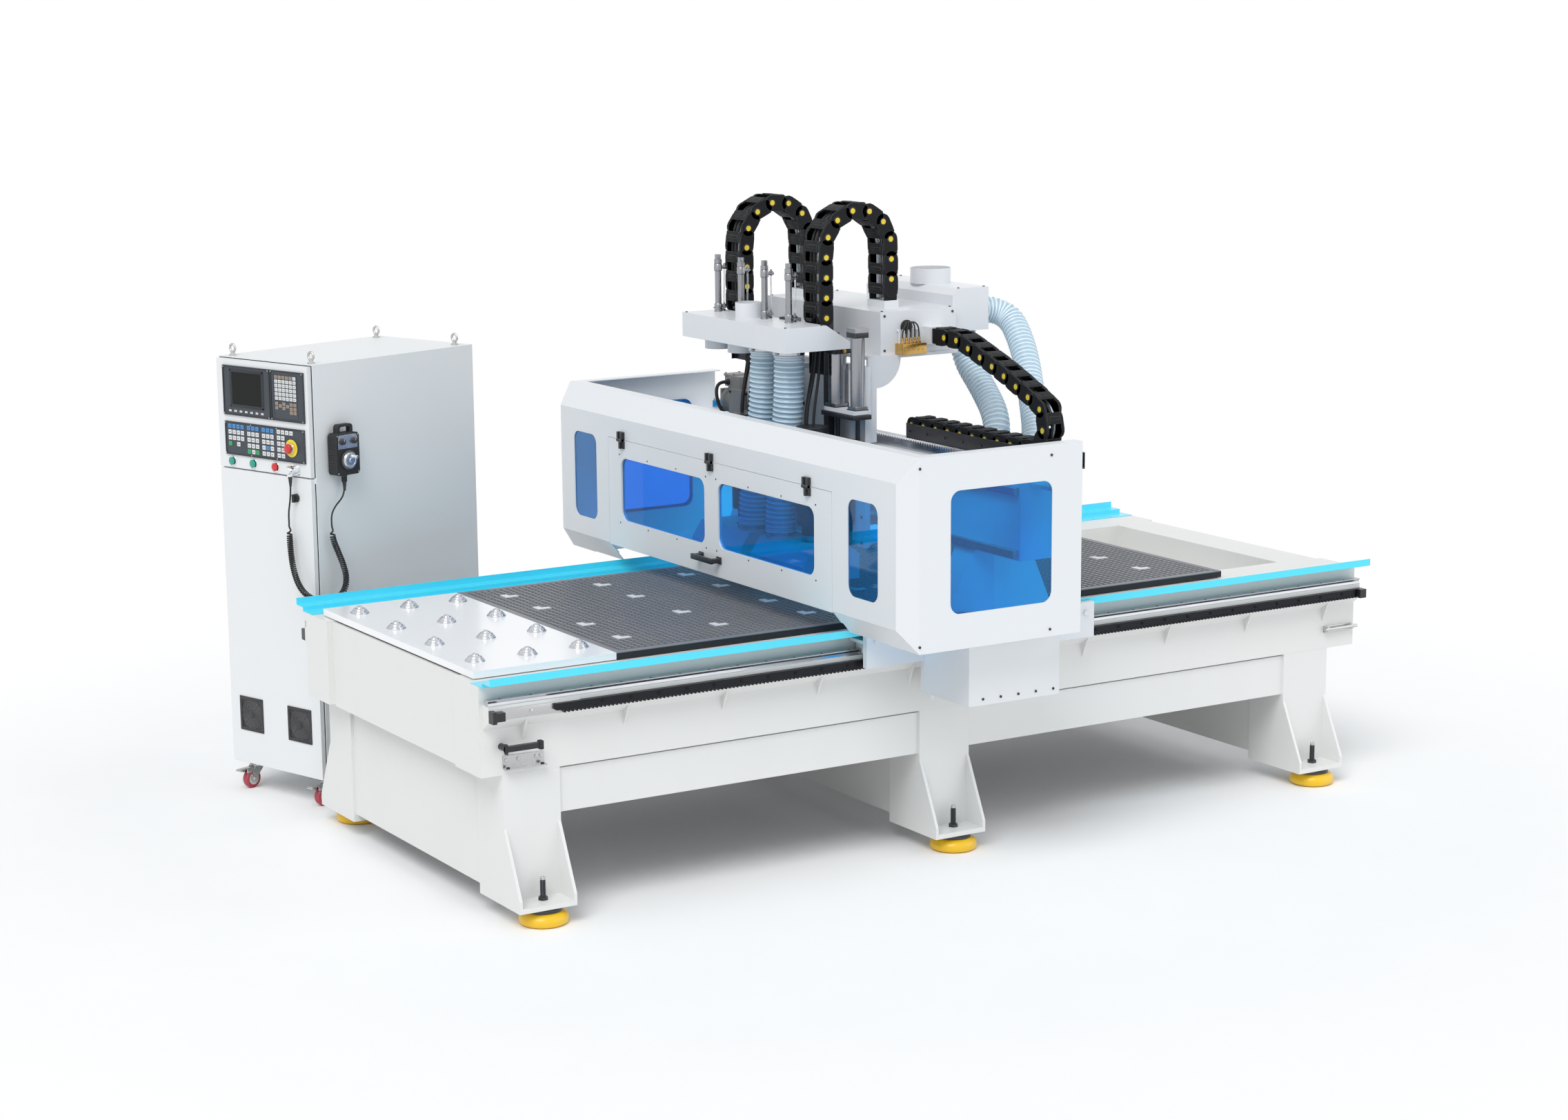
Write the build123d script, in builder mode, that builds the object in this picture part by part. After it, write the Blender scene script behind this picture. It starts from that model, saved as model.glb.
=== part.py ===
from build123d import *
import math
import os

# CNC router for wood panels: a fixed bed with a vacuum table, a gantry with a guard that runs along
# the bed, a two-spindle head that runs along the gantry, and a free-standing control cabinet.
# X runs along the bed from the loading end, Y across it, Z up from the floor.

# ---------------------------------------------------------------- driving dimensions (mm)

# bed
BED_HALF_LENGTH = 1963.0
BEAM_INNER_Y = 549.0
BEAM_WIDTH = 202.0
BEAM_BOTTOM = 537.0
BEAM_TOP = 860.0
BEAM_WALL = 10.0
END_PANEL_INSET = 36.0
END_PANEL_THICK = 12.0
CROSS_WIDTH = 100.0
CROSS_DEPTH = 130.0
CROSS_WALL = 8.0
CROSS_SETBACK = 32.0
TABLE_GAP = 3.6
TABLE_THICK = 25.0
TABLE_HALF_WIDTH = 650.0
LOADING_INSET = 31.0
LOADING_LENGTH = 559.4
PIT_LENGTH = 400.0
DECK_LENGTH = 206.0
PIT_HALF_WIDTH = 520.0
PIT_DEPTH = 140.0
SHEET = 3.0

# linear guides and racks along the bed
SEAT_WIDTH = 47.0
SEAT_HEIGHT = 55.0
SEAT_TOP = 795.0
SEAT_TAPER = 35.0
RAIL_WIDTH = 26.0
RAIL_HEIGHT = 22.0
RAIL_INSET = 20.0
RACK_MODULE = 5.0
RACK_WIDTH = 22.0
RACK_HEIGHT = 35.0
RACK_INSET = 263.0
RIB_INSET = 150.0
RIB_COUNT = 10
PINION_TEETH = 12
PINION_X = -11.0

# legs and feet
LEG_LENGTH = 223.0
LEG_FRONT_INSET = 81.3
LEG_MIDDLE = -153.0
LEG_REAR_INSET = 135.6
LEG_WALL = 8.0
FOOT_PLATE_Z = 65.0
FOOT_PLATE_THICK = 18.0
FOOT_REACH = 110.0
STRETCHER_DEPTH = 158.0
STRETCHER_WIDTH = 60.0
PAD_RADIUS = 88.0
PAD_HEIGHT = 50.0
STUD_RADIUS = 15.0
STUD_TOP = 175.0

# ball transfers
BALL_PITCH_X = 205.0
BALL_PITCH_Y = 330.0
BALL_INSET = 82.0
BALL_RADIUS = 16.0
BALL_LIFT = 13.0

# gantry
BEAM_FRONT = 30.0
GANTRY_DEPTH = 230.0
GANTRY_HALF_WIDTH = 1120.0
GANTRY_BOTTOM = 1140.0
GANTRY_TOP = 1450.0
COLUMN_THICK = 150.0
COLUMN_FOOT = (-80.0, 356.0)
COLUMN_HEAD = (25.0, 255.0)
COLUMN_FOLD_X = 97.0
COLUMN_FOLD_DEPTH = 70.0
WEB_THICK = 25.0
SHOE_SPAN = (-464.0, 560.0)
SHOE_BOTTOM = 757.0
SHOE_TOP = 893.0
DRIVE_SPAN = (-212.0, 190.0)
DRIVE_REACH = 280.0
DRIVE_BOTTOM = 637.0
CROSS_RAIL_Z = (1164.5, 1393.5)
CROSS_RAIL_WIDTH = 28.0
CROSS_RAIL_DEPTH = 24.0

# guard round the gantry
GUARD_FRONT = -590.0
GUARD_BACK = 176.0
GUARD_HALF_WIDTH = 1290.0
GUARD_TOP = 1586.0
GUARD_BOTTOM = 893.0
GUARD_BEVEL = 70.0
FACE_TOP = 1497.0
FACE_BOTTOM = 980.0
FACE_HALF_WIDTH = 1246.0
GUARD_SHEET = 4.0
GUARD_FLANGE = 50.0
DOOR_HALF_WIDTH = 835.0
DOOR_BOTTOM = 974.0
DOOR_TOP = 1412.0
DOOR_THICK = 20.0
CORNER_RADIUS = 40.0
PANE = 6.0
HINGE_YS = (717.0, 17.0, -678.0)
HINGE_RADIUS = 11.0

# head
PLATE_BACK = -25.0
PLATE_THICK = 25.0
PLATE_SPAN_Y = (-230.0, 640.0)
PLATE_SPAN_Z = (1060.0, 1760.0)
HEAD_BOX_X = (40.0, 390.0)
HEAD_BOX_Y = (-200.0, 640.0)
HEAD_BOX_Z = (1795.0, 1960.0)
BOX_SHEET = 3.0
SPINDLE_X = -200.0
SPINDLE_YS = (-90.0, 390.0)
SPINDLE_RADIUS = 62.0
STATION_PITCH = 177.0
STATION_FIRST = 66.0
HOSE_RADIUS = 59.0
STUB_RADIUS = 47.5

# control cabinet, in its own frame: x across its front, y to its back
CABINET_WIDTH = 560.0
CABINET_DEPTH = 880.0
CABINET_BOTTOM = 110.0
CABINET_TOP = 1772.0
CABINET_CENTRE = (-1480.5, 1402.3)
CABINET_TURN = -71.76
CABINET_WALL = 3.0
DOOR_PANEL = 20.0
CONSOLE_BOTTOM = 1330.0

# clearances
SLIDE_GAP = 0.3
RUNNING_GAP = 0.05
SEAT_GAP = 4.0

# ---------------------------------------------------------------- derived values

BEAM_OUTER_Y = BEAM_INNER_Y + BEAM_WIDTH
LOADING_START = -BED_HALF_LENGTH + LOADING_INSET
TABLE_SPLIT = LOADING_START + LOADING_LENGTH
TABLE_END = BED_HALF_LENGTH - DECK_LENGTH - PIT_LENGTH
BALL_FIRST_X = LOADING_START + BALL_INSET
LEG_STARTS = (-BED_HALF_LENGTH + LEG_FRONT_INSET, LEG_MIDDLE, BED_HALF_LENGTH - LEG_REAR_INSET - LEG_LENGTH)
RACK_START = -BED_HALF_LENGTH + RACK_INSET
TABLE_BOTTOM = BEAM_TOP + TABLE_GAP
TABLE_TOP = TABLE_BOTTOM + TABLE_THICK
SEAT_OUTER_Y = BEAM_OUTER_Y + SEAT_WIDTH
SEAT_BOTTOM = SEAT_TOP - SEAT_HEIGHT
SEAT_HALF_LENGTH = BED_HALF_LENGTH - 13.0
RAIL_INNER_Y = BEAM_OUTER_Y + RAIL_INSET
RAIL_OUTER_Y = RAIL_INNER_Y + RAIL_WIDTH
RAIL_TOP = SEAT_TOP + RAIL_HEIGHT
RACK_OUTER_Y = SEAT_OUTER_Y + RACK_WIDTH
RACK_TOP = SEAT_BOTTOM + 40.0
RACK_TIP_Z = RACK_TOP - RACK_HEIGHT
RACK_PITCH = math.pi * RACK_MODULE
PITCH_RADIUS = RACK_MODULE * PINION_TEETH / 2
PINION_Z = RACK_TIP_Z + RACK_MODULE - PITCH_RADIUS
COVER_LIP_Y = RACK_OUTER_Y + 18.0
COVER_STEP_Y = RAIL_INNER_Y + 5.0
COVER_STEP_Z = BEAM_TOP + 15.0
COVER_LIP_TOP = COVER_STEP_Z + 27.0
WEB_INNER_Y = COVER_LIP_Y + SHEET + SEAT_GAP
WEB_OUTER_Y = WEB_INNER_Y + WEB_THICK
COLUMN_BOTTOM = COVER_LIP_TOP + 6.0
PLATE_FRONT = PLATE_BACK - PLATE_THICK
GANTRY_BACK = BEAM_FRONT + GANTRY_DEPTH
CABINET_FRONT = -CABINET_DEPTH / 2
CABINET_SIDE = CABINET_WIDTH / 2

# ---------------------------------------------------------------- shape helpers


def block(x_span, y_span, z_span, mode=Mode.ADD):
    """A box between two corners, given as spans along each axis."""
    middle = tuple((low + high) / 2 for low, high in (x_span, y_span, z_span))
    with Locations(middle):
        Box(x_span[1] - x_span[0], abs(y_span[1] - y_span[0]), z_span[1] - z_span[0], mode=mode)


def rod(start, end, radius, mode=Mode.ADD):
    """A round bar from one point to another."""
    along = Vector(*end) - Vector(*start)
    with BuildSketch(Plane(origin=start, z_dir=along)) as section:
        Circle(radius)
    extrude(section.sketch, amount=along.length, mode=mode)


def prism(plane, points, amount, mode=Mode.ADD):
    """A straight-sided outline on a plane, extruded along the plane's normal."""
    with BuildSketch(plane) as outline:
        with BuildLine():
            Polyline(*points, close=True)
        make_face()
    extrude(outline.sketch, amount=amount, mode=mode)


def side_span(side, near, far):
    """A Y span measured outwards from the centre line, on the chosen side."""
    return tuple(sorted((side * near, side * far)))


def across(x):
    """The plane square to X at x, with Y to the right and Z up."""
    return Plane(origin=(x, 0, 0), x_dir=(0, 1, 0), z_dir=(1, 0, 0))


def along(y):
    """The plane square to Y at y, with X to the right and Z up."""
    return Plane(origin=(0, y, 0), x_dir=(1, 0, 0), z_dir=(0, -1, 0))


def level(z):
    """The level plane at height z."""
    return Plane.XY.offset(z)


def tube_path(points, radius_share=0.45):
    """Straight runs joined by tangent arcs, each as large as its two runs allow."""
    radii = []
    for before, here, after in zip(points, points[1:], points[2:]):
        arriving = Vector(*here) - Vector(*before)
        leaving = Vector(*after) - Vector(*here)
        half_turn = math.radians(arriving.get_angle(leaving)) / 2
        shorter = min(arriving.length, leaving.length)
        radii.append(radius_share * shorter / math.tan(half_turn))
    return FilletPolyline(*points, radius=radii), radii


def hose(points, radius, bore=0.0):
    """A round hose swept along its route, hollow if it has a bore. Returns its bend radii."""
    with BuildLine(mode=Mode.PRIVATE) as route:
        path, radii = tube_path(points)
    start = Plane(origin=points[0], z_dir=Vector(*points[1]) - Vector(*points[0]))
    with BuildSketch(start, mode=Mode.PRIVATE) as section:
        Circle(radius)
        if bore:
            Circle(bore, mode=Mode.SUBTRACT)
    sweep(section.sketch, path=route.line)
    return radii


def gear_outline(teeth, module, tooth_share=0.4):
    """Points of a spur gear with straight flanks and generous backlash."""
    pitch = module * teeth / 2
    points = []
    for tooth in range(teeth):
        middle = 2 * math.pi * tooth / teeth
        width = tooth_share * 2 * math.pi / teeth
        for offset, radius in ((-0.62, pitch - 1.2 * module), (-0.26, pitch + 0.85 * module),
                               (0.26, pitch + 0.85 * module), (0.62, pitch - 1.2 * module)):
            angle = middle + offset * width
            points.append((radius * math.cos(angle), radius * math.sin(angle)))
    return points


def rack_outline(start, end, back, tip, first_gap):
    """Points of a rack bar whose teeth point from its back edge to the tip line."""
    toward = 1 if tip > back else -1
    root = tip - toward * 2.2 * RACK_MODULE
    points = [(start, back), (start, root)]
    steps = int((start - first_gap) / RACK_PITCH) + 1
    centre = first_gap + (steps + 0.5) * RACK_PITCH
    while centre - RACK_PITCH / 2 < start:
        centre += RACK_PITCH
    while centre + RACK_PITCH / 2 < end:
        for offset, height in ((-0.34, root), (-0.13, tip), (0.13, tip), (0.34, root)):
            points.append((centre + offset * RACK_PITCH, height))
        centre += RACK_PITCH
    points += [(end, root), (end, back)]
    return points


# ================================================================ bed

inner_x = (-BED_HALF_LENGTH + END_PANEL_INSET, BED_HALF_LENGTH - END_PANEL_INSET)
pit_x = (TABLE_END, TABLE_END + PIT_LENGTH)
cross_first = TABLE_SPLIT - CROSS_WIDTH / 2
cross_pitch = (TABLE_END - CROSS_WIDTH - cross_first) / 6
cross_starts = [LOADING_START + CROSS_SETBACK] + [cross_first + number * cross_pitch for number in range(7)]
rib_pitch = 2 * (SEAT_HALF_LENGTH - RIB_INSET) / (RIB_COUNT - 1)

with BuildPart() as bed_frame:
    for side in (-1, 1):
        beam_y = side_span(side, BEAM_INNER_Y, BEAM_OUTER_Y)
        block((-BED_HALF_LENGTH, BED_HALF_LENGTH), beam_y, (BEAM_BOTTOM, BEAM_TOP))
        hollow_y = side_span(side, BEAM_INNER_Y + BEAM_WALL, BEAM_OUTER_Y - BEAM_WALL)
        hollow_x = (-BED_HALF_LENGTH + BEAM_WALL, BED_HALF_LENGTH - BEAM_WALL)
        block(hollow_x, hollow_y, (BEAM_BOTTOM + BEAM_WALL, BEAM_TOP - BEAM_WALL), Mode.SUBTRACT)
    for x in cross_starts:
        block((x, x + CROSS_WIDTH), (-BEAM_INNER_Y, BEAM_INNER_Y),
              (TABLE_BOTTOM - CROSS_DEPTH, TABLE_BOTTOM))
        block((x + CROSS_WALL, x + CROSS_WIDTH - CROSS_WALL), (-BEAM_INNER_Y, BEAM_INNER_Y),
              (TABLE_BOTTOM - CROSS_DEPTH + CROSS_WALL, TABLE_BOTTOM - CROSS_WALL), Mode.SUBTRACT)
    block((inner_x[0] - END_PANEL_THICK, inner_x[0]), (-BEAM_INNER_Y, BEAM_INNER_Y),
          (BEAM_BOTTOM - 7, TABLE_BOTTOM - 7))
    block((inner_x[1], inner_x[1] + END_PANEL_THICK), (-BEAM_INNER_Y, BEAM_INNER_Y),
          (BEAM_BOTTOM - 7, BEAM_TOP))
    # rear deck with its sunk pit
    block((pit_x[1] + SHEET, inner_x[1]), (-BEAM_INNER_Y, BEAM_INNER_Y),
          (BEAM_TOP - END_PANEL_THICK, BEAM_TOP))
    block((pit_x[0], pit_x[1] + SHEET), (-BEAM_INNER_Y, BEAM_INNER_Y),
          (BEAM_TOP - PIT_DEPTH - SHEET, BEAM_TOP))
    block(pit_x, (-PIT_HALF_WIDTH, PIT_HALF_WIDTH), (BEAM_TOP - PIT_DEPTH, BEAM_TOP), Mode.SUBTRACT)
    for side in (-1, 1):
        seat = [(side * BEAM_OUTER_Y, SEAT_TOP), (side * SEAT_OUTER_Y, SEAT_TOP),
                (side * SEAT_OUTER_Y, SEAT_BOTTOM), (side * BEAM_OUTER_Y, SEAT_BOTTOM - SEAT_TAPER)]
        prism(across(-SEAT_HALF_LENGTH), seat, 2 * SEAT_HALF_LENGTH)
        rib = [(side * BEAM_OUTER_Y, SEAT_BOTTOM - SEAT_TAPER),
               (side * (SEAT_OUTER_Y - 10), SEAT_BOTTOM - SEAT_TAPER * 10 / SEAT_WIDTH),
               (side * BEAM_OUTER_Y, SEAT_BOTTOM - SEAT_TAPER - 55)]
        for rib_number in range(RIB_COUNT):
            rib_x = -SEAT_HALF_LENGTH + RIB_INSET + rib_number * rib_pitch
            prism(across(rib_x - 4), rib, 8)

with BuildPart() as legs:
    post_bottom = FOOT_PLATE_Z + FOOT_PLATE_THICK
    for leg_x in LEG_STARTS:
        leg_span = (leg_x, leg_x + LEG_LENGTH)
        for side in (-1, 1):
            block(leg_span, side_span(side, BEAM_INNER_Y, BEAM_OUTER_Y), (post_bottom, BEAM_BOTTOM))
            block((leg_x + LEG_WALL, leg_x + LEG_LENGTH - LEG_WALL),
                  side_span(side, BEAM_INNER_Y + LEG_WALL, BEAM_OUTER_Y - LEG_WALL),
                  (post_bottom, BEAM_BOTTOM - LEG_WALL), Mode.SUBTRACT)
            block(leg_span, side_span(side, BEAM_INNER_Y, BEAM_OUTER_Y + FOOT_REACH),
                  (FOOT_PLATE_Z, post_bottom))
            stud_at = (leg_x + LEG_LENGTH / 2 + 14, side * (BEAM_OUTER_Y + 40), FOOT_PLATE_Z)
            rod(stud_at, (stud_at[0], stud_at[1], post_bottom), STUD_RADIUS + SLIDE_GAP, Mode.SUBTRACT)
            gusset = [(side * BEAM_OUTER_Y, post_bottom), (side * BEAM_OUTER_Y, post_bottom + 260),
                      (side * (BEAM_OUTER_Y + FOOT_REACH), post_bottom + 26),
                      (side * (BEAM_OUTER_Y + FOOT_REACH), post_bottom)]
            for gusset_x in (leg_x, leg_x + LEG_LENGTH - 12):
                prism(across(gusset_x), gusset, 12)
        block((leg_x + 12, leg_x + 24), (-BEAM_INNER_Y, BEAM_INNER_Y), (post_bottom + 11, BEAM_BOTTOM))
    for start, end in zip(LEG_STARTS, LEG_STARTS[1:]):
        for side in (-1, 1):
            block((start + LEG_LENGTH, end),
                  side_span(side, BEAM_OUTER_Y - 11 - STRETCHER_WIDTH, BEAM_OUTER_Y - 11),
                  (BEAM_BOTTOM - 7 - STRETCHER_DEPTH, BEAM_BOTTOM - 7))

with BuildPart() as leveling_feet:
    nut_height = 16
    for leg_x in LEG_STARTS:
        for side in (-1, 1):
            x, y = leg_x + LEG_LENGTH / 2 + 14, side * (BEAM_OUTER_Y + 40)
            rod((x, y, 0), (x, y, PAD_HEIGHT), PAD_RADIUS)
            rod((x, y, PAD_HEIGHT), (x, y, FOOT_PLATE_Z), PAD_RADIUS - 20)
            rod((x, y, PAD_HEIGHT), (x, y, STUD_TOP), STUD_RADIUS)
            with BuildSketch(Plane(origin=(x, y, post_bottom))) as nut:
                RegularPolygon(STUD_RADIUS * 1.6, 6)
            extrude(nut.sketch, amount=nut_height)

ball_spots = [(BALL_FIRST_X + column * BALL_PITCH_X, (row - 1.5) * BALL_PITCH_Y)
              for column in range(3) for row in range(4)]
cup_radius = BALL_RADIUS + 8
cup_depth = 20
flange_height = 5
dome_height = 20

with BuildPart() as loading_plate:
    block((LOADING_START, TABLE_SPLIT), (-TABLE_HALF_WIDTH, TABLE_HALF_WIDTH), (TABLE_BOTTOM, TABLE_TOP))
    for x, y in ball_spots:
        rod((x, y, TABLE_BOTTOM), (x, y, TABLE_TOP), cup_radius + SLIDE_GAP, Mode.SUBTRACT)

with BuildPart() as ball_transfers:
    for x, y in ball_spots:
        rod((x, y, TABLE_TOP - cup_depth), (x, y, TABLE_TOP), cup_radius)
        rod((x, y, TABLE_TOP), (x, y, TABLE_TOP + flange_height), cup_radius + 12)
        with Locations((x, y, TABLE_TOP + (flange_height + dome_height) / 2)):
            Cone(cup_radius + 7, BALL_RADIUS + 2, dome_height - flange_height)
        with Locations((x, y, TABLE_TOP + BALL_LIFT)):
            Sphere(BALL_RADIUS + SLIDE_GAP, mode=Mode.SUBTRACT)
            Sphere(BALL_RADIUS)

with BuildPart() as vacuum_table:
    block((TABLE_SPLIT, TABLE_END), (-TABLE_HALF_WIDTH, TABLE_HALF_WIDTH), (TABLE_BOTTOM, TABLE_TOP))

with BuildPart() as rail_covers:
    for side in (-1, 1):
        lower_line = [(TABLE_HALF_WIDTH + 40, BEAM_TOP), (COVER_STEP_Y + SHEET, BEAM_TOP),
                      (COVER_STEP_Y + SHEET, COVER_STEP_Z), (COVER_LIP_Y + SHEET, COVER_STEP_Z),
                      (COVER_LIP_Y + SHEET, COVER_LIP_TOP)]
        upper_line = [(COVER_LIP_Y, COVER_LIP_TOP), (COVER_LIP_Y, COVER_STEP_Z + SHEET),
                      (COVER_STEP_Y, COVER_STEP_Z + SHEET), (COVER_STEP_Y, BEAM_TOP + SHEET),
                      (TABLE_HALF_WIDTH + 40, BEAM_TOP + SHEET)]
        profile = [(side * y, z) for y, z in lower_line + upper_line]
        prism(across(-BED_HALF_LENGTH), profile, 2 * BED_HALF_LENGTH)

with BuildPart() as x_rails:
    waist = RAIL_HEIGHT * 0.35
    for side in (-1, 1):
        inner, outer, middle = RAIL_INNER_Y, RAIL_OUTER_Y, SEAT_TOP + RAIL_HEIGHT / 2
        profile = [(inner, SEAT_TOP), (outer, SEAT_TOP), (outer, middle - waist),
                   (outer - 4, middle), (outer, middle + waist), (outer, RAIL_TOP),
                   (inner, RAIL_TOP), (inner, middle + waist), (inner + 4, middle),
                   (inner, middle - waist)]
        prism(across(-SEAT_HALF_LENGTH), [(side * y, z) for y, z in profile], 2 * SEAT_HALF_LENGTH)

    teeth = rack_outline(RACK_START, SEAT_HALF_LENGTH, RACK_TOP, RACK_TIP_Z, PINION_X)
    for side in (-1, 1):
        outer = SEAT_OUTER_Y if side < 0 else RACK_OUTER_Y
        prism(along(side * outer), teeth, RACK_WIDTH)

with BuildPart() as end_stops:
    for side in (-1, 1):
        block((SEAT_HALF_LENGTH - 30, SEAT_HALF_LENGTH), side_span(side, RACK_OUTER_Y, RACK_OUTER_Y + 18),
              (RACK_TIP_Z, RACK_TOP))
        block((-SEAT_HALF_LENGTH, -SEAT_HALF_LENGTH + 16), side_span(side, SEAT_OUTER_Y, SEAT_OUTER_Y + 34),
              (SEAT_BOTTOM, SEAT_TOP - 12))
        block((-SEAT_HALF_LENGTH + 16, -SEAT_HALF_LENGTH + 50),
              side_span(side, SEAT_OUTER_Y + 6, SEAT_OUTER_Y + 30),
              (SEAT_BOTTOM + 6, SEAT_TOP - 18))
    # clamp lever and limit switch bracket at the loading end
    clamp_x = -BED_HALF_LENGTH + 80
    rod((clamp_x, -BEAM_OUTER_Y, 640), (clamp_x, -BEAM_OUTER_Y - 40, 640), 12)
    block((clamp_x - 10, clamp_x + 130), (-BEAM_OUTER_Y - 56, -BEAM_OUTER_Y - 40), (630, 650))
    block((clamp_x + 4, clamp_x + 160), (-BEAM_OUTER_Y - 4, -BEAM_OUTER_Y), (560, 605))
    block((clamp_x + 4, clamp_x + 160), (-BEAM_OUTER_Y - 34, -BEAM_OUTER_Y - 4), (560, 564))

# ================================================================ control cabinet

door_z = (CABINET_BOTTOM + 8, CONSOLE_BOTTOM - 4)
console_z = (CONSOLE_BOTTOM + 2, CABINET_TOP - 6)
door_half = CABINET_SIDE - 8
panel_back = CABINET_FRONT + DOOR_PANEL

with BuildPart() as cabinet_shell:
    block((-CABINET_SIDE, CABINET_SIDE), (panel_back, -CABINET_FRONT), (CABINET_BOTTOM, CABINET_TOP))
    block((-CABINET_SIDE + CABINET_WALL, CABINET_SIDE - CABINET_WALL),
          (panel_back, -CABINET_FRONT - CABINET_WALL),
          (CABINET_BOTTOM + CABINET_WALL, CABINET_TOP - CABINET_WALL), Mode.SUBTRACT)
    block((-CABINET_SIDE + CABINET_WALL, CABINET_SIDE - CABINET_WALL), (panel_back, panel_back + 40),
          (CONSOLE_BOTTOM - 22, CONSOLE_BOTTOM))

caster_spots = [(side * (CABINET_SIDE - 60), end * (CABINET_DEPTH / 2 - 70))
                for side in (-1, 1) for end in (-1, 1)]
wheel_radius = 38.5
wheel_width = 30
trail = 26

with BuildPart() as casters:
    for x, y in caster_spots:
        block((x - 34, x + 34), (y - 34, y + 34), (CABINET_BOTTOM - 5, CABINET_BOTTOM))
        rod((x, y, CABINET_BOTTOM - 18), (x, y, CABINET_BOTTOM - 5), 26)
        for side in (-1, 1):
            cheek_x = sorted((x + side * (wheel_width / 2 + 2), x + side * (wheel_width / 2 + 5)))
            cheek = [(-20, CABINET_BOTTOM - 18), (20, CABINET_BOTTOM - 18),
                     (-trail + 14, wheel_radius - 8), (-trail - 14, wheel_radius - 8)]
            prism(across(cheek_x[0]), [(y + depth, z) for depth, z in cheek], 3)
        block((x - wheel_width / 2 - 5, x + wheel_width / 2 + 5), (y - 20, y + 20),
              (CABINET_BOTTOM - 21, CABINET_BOTTOM - 18))
        centre = (y - trail, wheel_radius)
        rod((x - wheel_width / 2, *centre), (x + wheel_width / 2, *centre), wheel_radius)
        rod((x - wheel_width / 2 - 8, *centre), (x + wheel_width / 2 + 8, *centre), 6)

with BuildPart() as eyebolts:
    for x in (-CABINET_SIDE + 45, CABINET_SIDE - 45):
        for y in (-CABINET_DEPTH / 2 + 55, CABINET_DEPTH / 2 - 55):
            rod((x, y, CABINET_TOP), (x, y, CABINET_TOP + 6), 15)
            rod((x, y, CABINET_TOP + 6), (x, y, CABINET_TOP + 14), 9)
            with Locations(Location((x, y, CABINET_TOP + 30), (90, 0, 0))):
                Torus(15, 5)

with BuildPart() as cabinet_door:
    block((-door_half, door_half), (CABINET_FRONT, panel_back), door_z)
    lock_spot = (183.0, 1246.0)
    for x in (-146.5, 147.0):
        block((x - 71, x + 71), (CABINET_FRONT, CABINET_FRONT + 2), (255, 395), Mode.SUBTRACT)
        rod((x, CABINET_FRONT, 325), (x, panel_back, 325), 60, Mode.SUBTRACT)
        rod((x, CABINET_FRONT + 2, 325), (x, panel_back, 325), 59.5)
        rod((x, CABINET_FRONT + 2, 325), (x, CABINET_FRONT + 6, 325), 56, Mode.SUBTRACT)
    rod((lock_spot[0], CABINET_FRONT, lock_spot[1]), (lock_spot[0], panel_back, lock_spot[1]),
        9 + RUNNING_GAP, Mode.SUBTRACT)

with BuildPart() as lock_knob:
    knob_face = CABINET_FRONT - SLIDE_GAP
    rod((lock_spot[0], knob_face, lock_spot[1]), (lock_spot[0], panel_back - 2, lock_spot[1]), 9)
    rod((lock_spot[0], knob_face - 8, lock_spot[1]), (lock_spot[0], knob_face, lock_spot[1]), 17)
    block((lock_spot[0] - 5, lock_spot[0] + 5), (knob_face - 22, knob_face - 8),
          (lock_spot[1] - 16, lock_spot[1] + 16))

button_spots = {"run": (-194.0, 1359.0), "reset": (-67.0, 1359.0), "stop": (66.0, 1358.0)}
estop_spot = (170.0, 1441.0)
button_radius = 11.0
button_ring = 3.0
estop_collar = 8.0
panel_thick = 4.0
screen_span = ((-232, 253), (1544, 1742))
keypad_span = ((-230, 248), (1385, 1518))

with BuildPart() as console_door:
    block((-door_half, door_half), (CABINET_FRONT, panel_back), console_z)
    for x, z in button_spots.values():
        rod((x, CABINET_FRONT, z), (x, panel_back, z), button_radius + 4, Mode.SUBTRACT)
    rod((estop_spot[0], CABINET_FRONT, estop_spot[1]), (estop_spot[0], panel_back, estop_spot[1]),
        15, Mode.SUBTRACT)

with BuildPart() as console_panel:
    for x_span, z_span in (screen_span, keypad_span):
        block(x_span, (CABINET_FRONT - panel_thick, CABINET_FRONT), z_span)
    block((-178, 2), (CABINET_FRONT - panel_thick, CABINET_FRONT - panel_thick + 1.5), (1585, 1719),
          Mode.SUBTRACT)
    x, z = estop_spot
    rod((x, CABINET_FRONT - panel_thick, z), (x, CABINET_FRONT, z), 15, Mode.SUBTRACT)
    rod((x, CABINET_FRONT - panel_thick - 2, z), (x, CABINET_FRONT - panel_thick, z), 34)
    rod((x, CABINET_FRONT - panel_thick - estop_collar, z), (x, panel_back, z), 15)
    rod((x, CABINET_FRONT - panel_thick - estop_collar, z), (x, panel_back, z), 9 + RUNNING_GAP,
        Mode.SUBTRACT)
    for x, z in button_spots.values():
        rod((x, CABINET_FRONT - button_ring, z), (x, panel_back, z), button_radius + 4)
        rod((x, CABINET_FRONT - button_ring, z), (x, panel_back, z), button_radius + RUNNING_GAP,
            Mode.SUBTRACT)


def round_button(spot):
    """A push button cap and stem, proud of its ring."""
    x, z = spot
    rod((x, CABINET_FRONT - button_ring - 4, z), (x, panel_back - 5, z), button_radius)


with BuildPart() as run_button:
    round_button(button_spots["run"])

with BuildPart() as reset_button:
    round_button(button_spots["reset"])

with BuildPart() as stop_button:
    round_button(button_spots["stop"])

estop_travel = 4.0
with BuildPart() as estop_button:
    x, z = estop_spot
    head_back = CABINET_FRONT - panel_thick - estop_collar - estop_travel - 1
    rod((x, head_back, z), (x, panel_back - 8, z), 9)
    rod((x, head_back - 14, z), (x, head_back, z), 20)
    fillet(estop_button.edges().filter_by(GeomType.CIRCLE).sort_by(Axis.Y)[0], 6)

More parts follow.
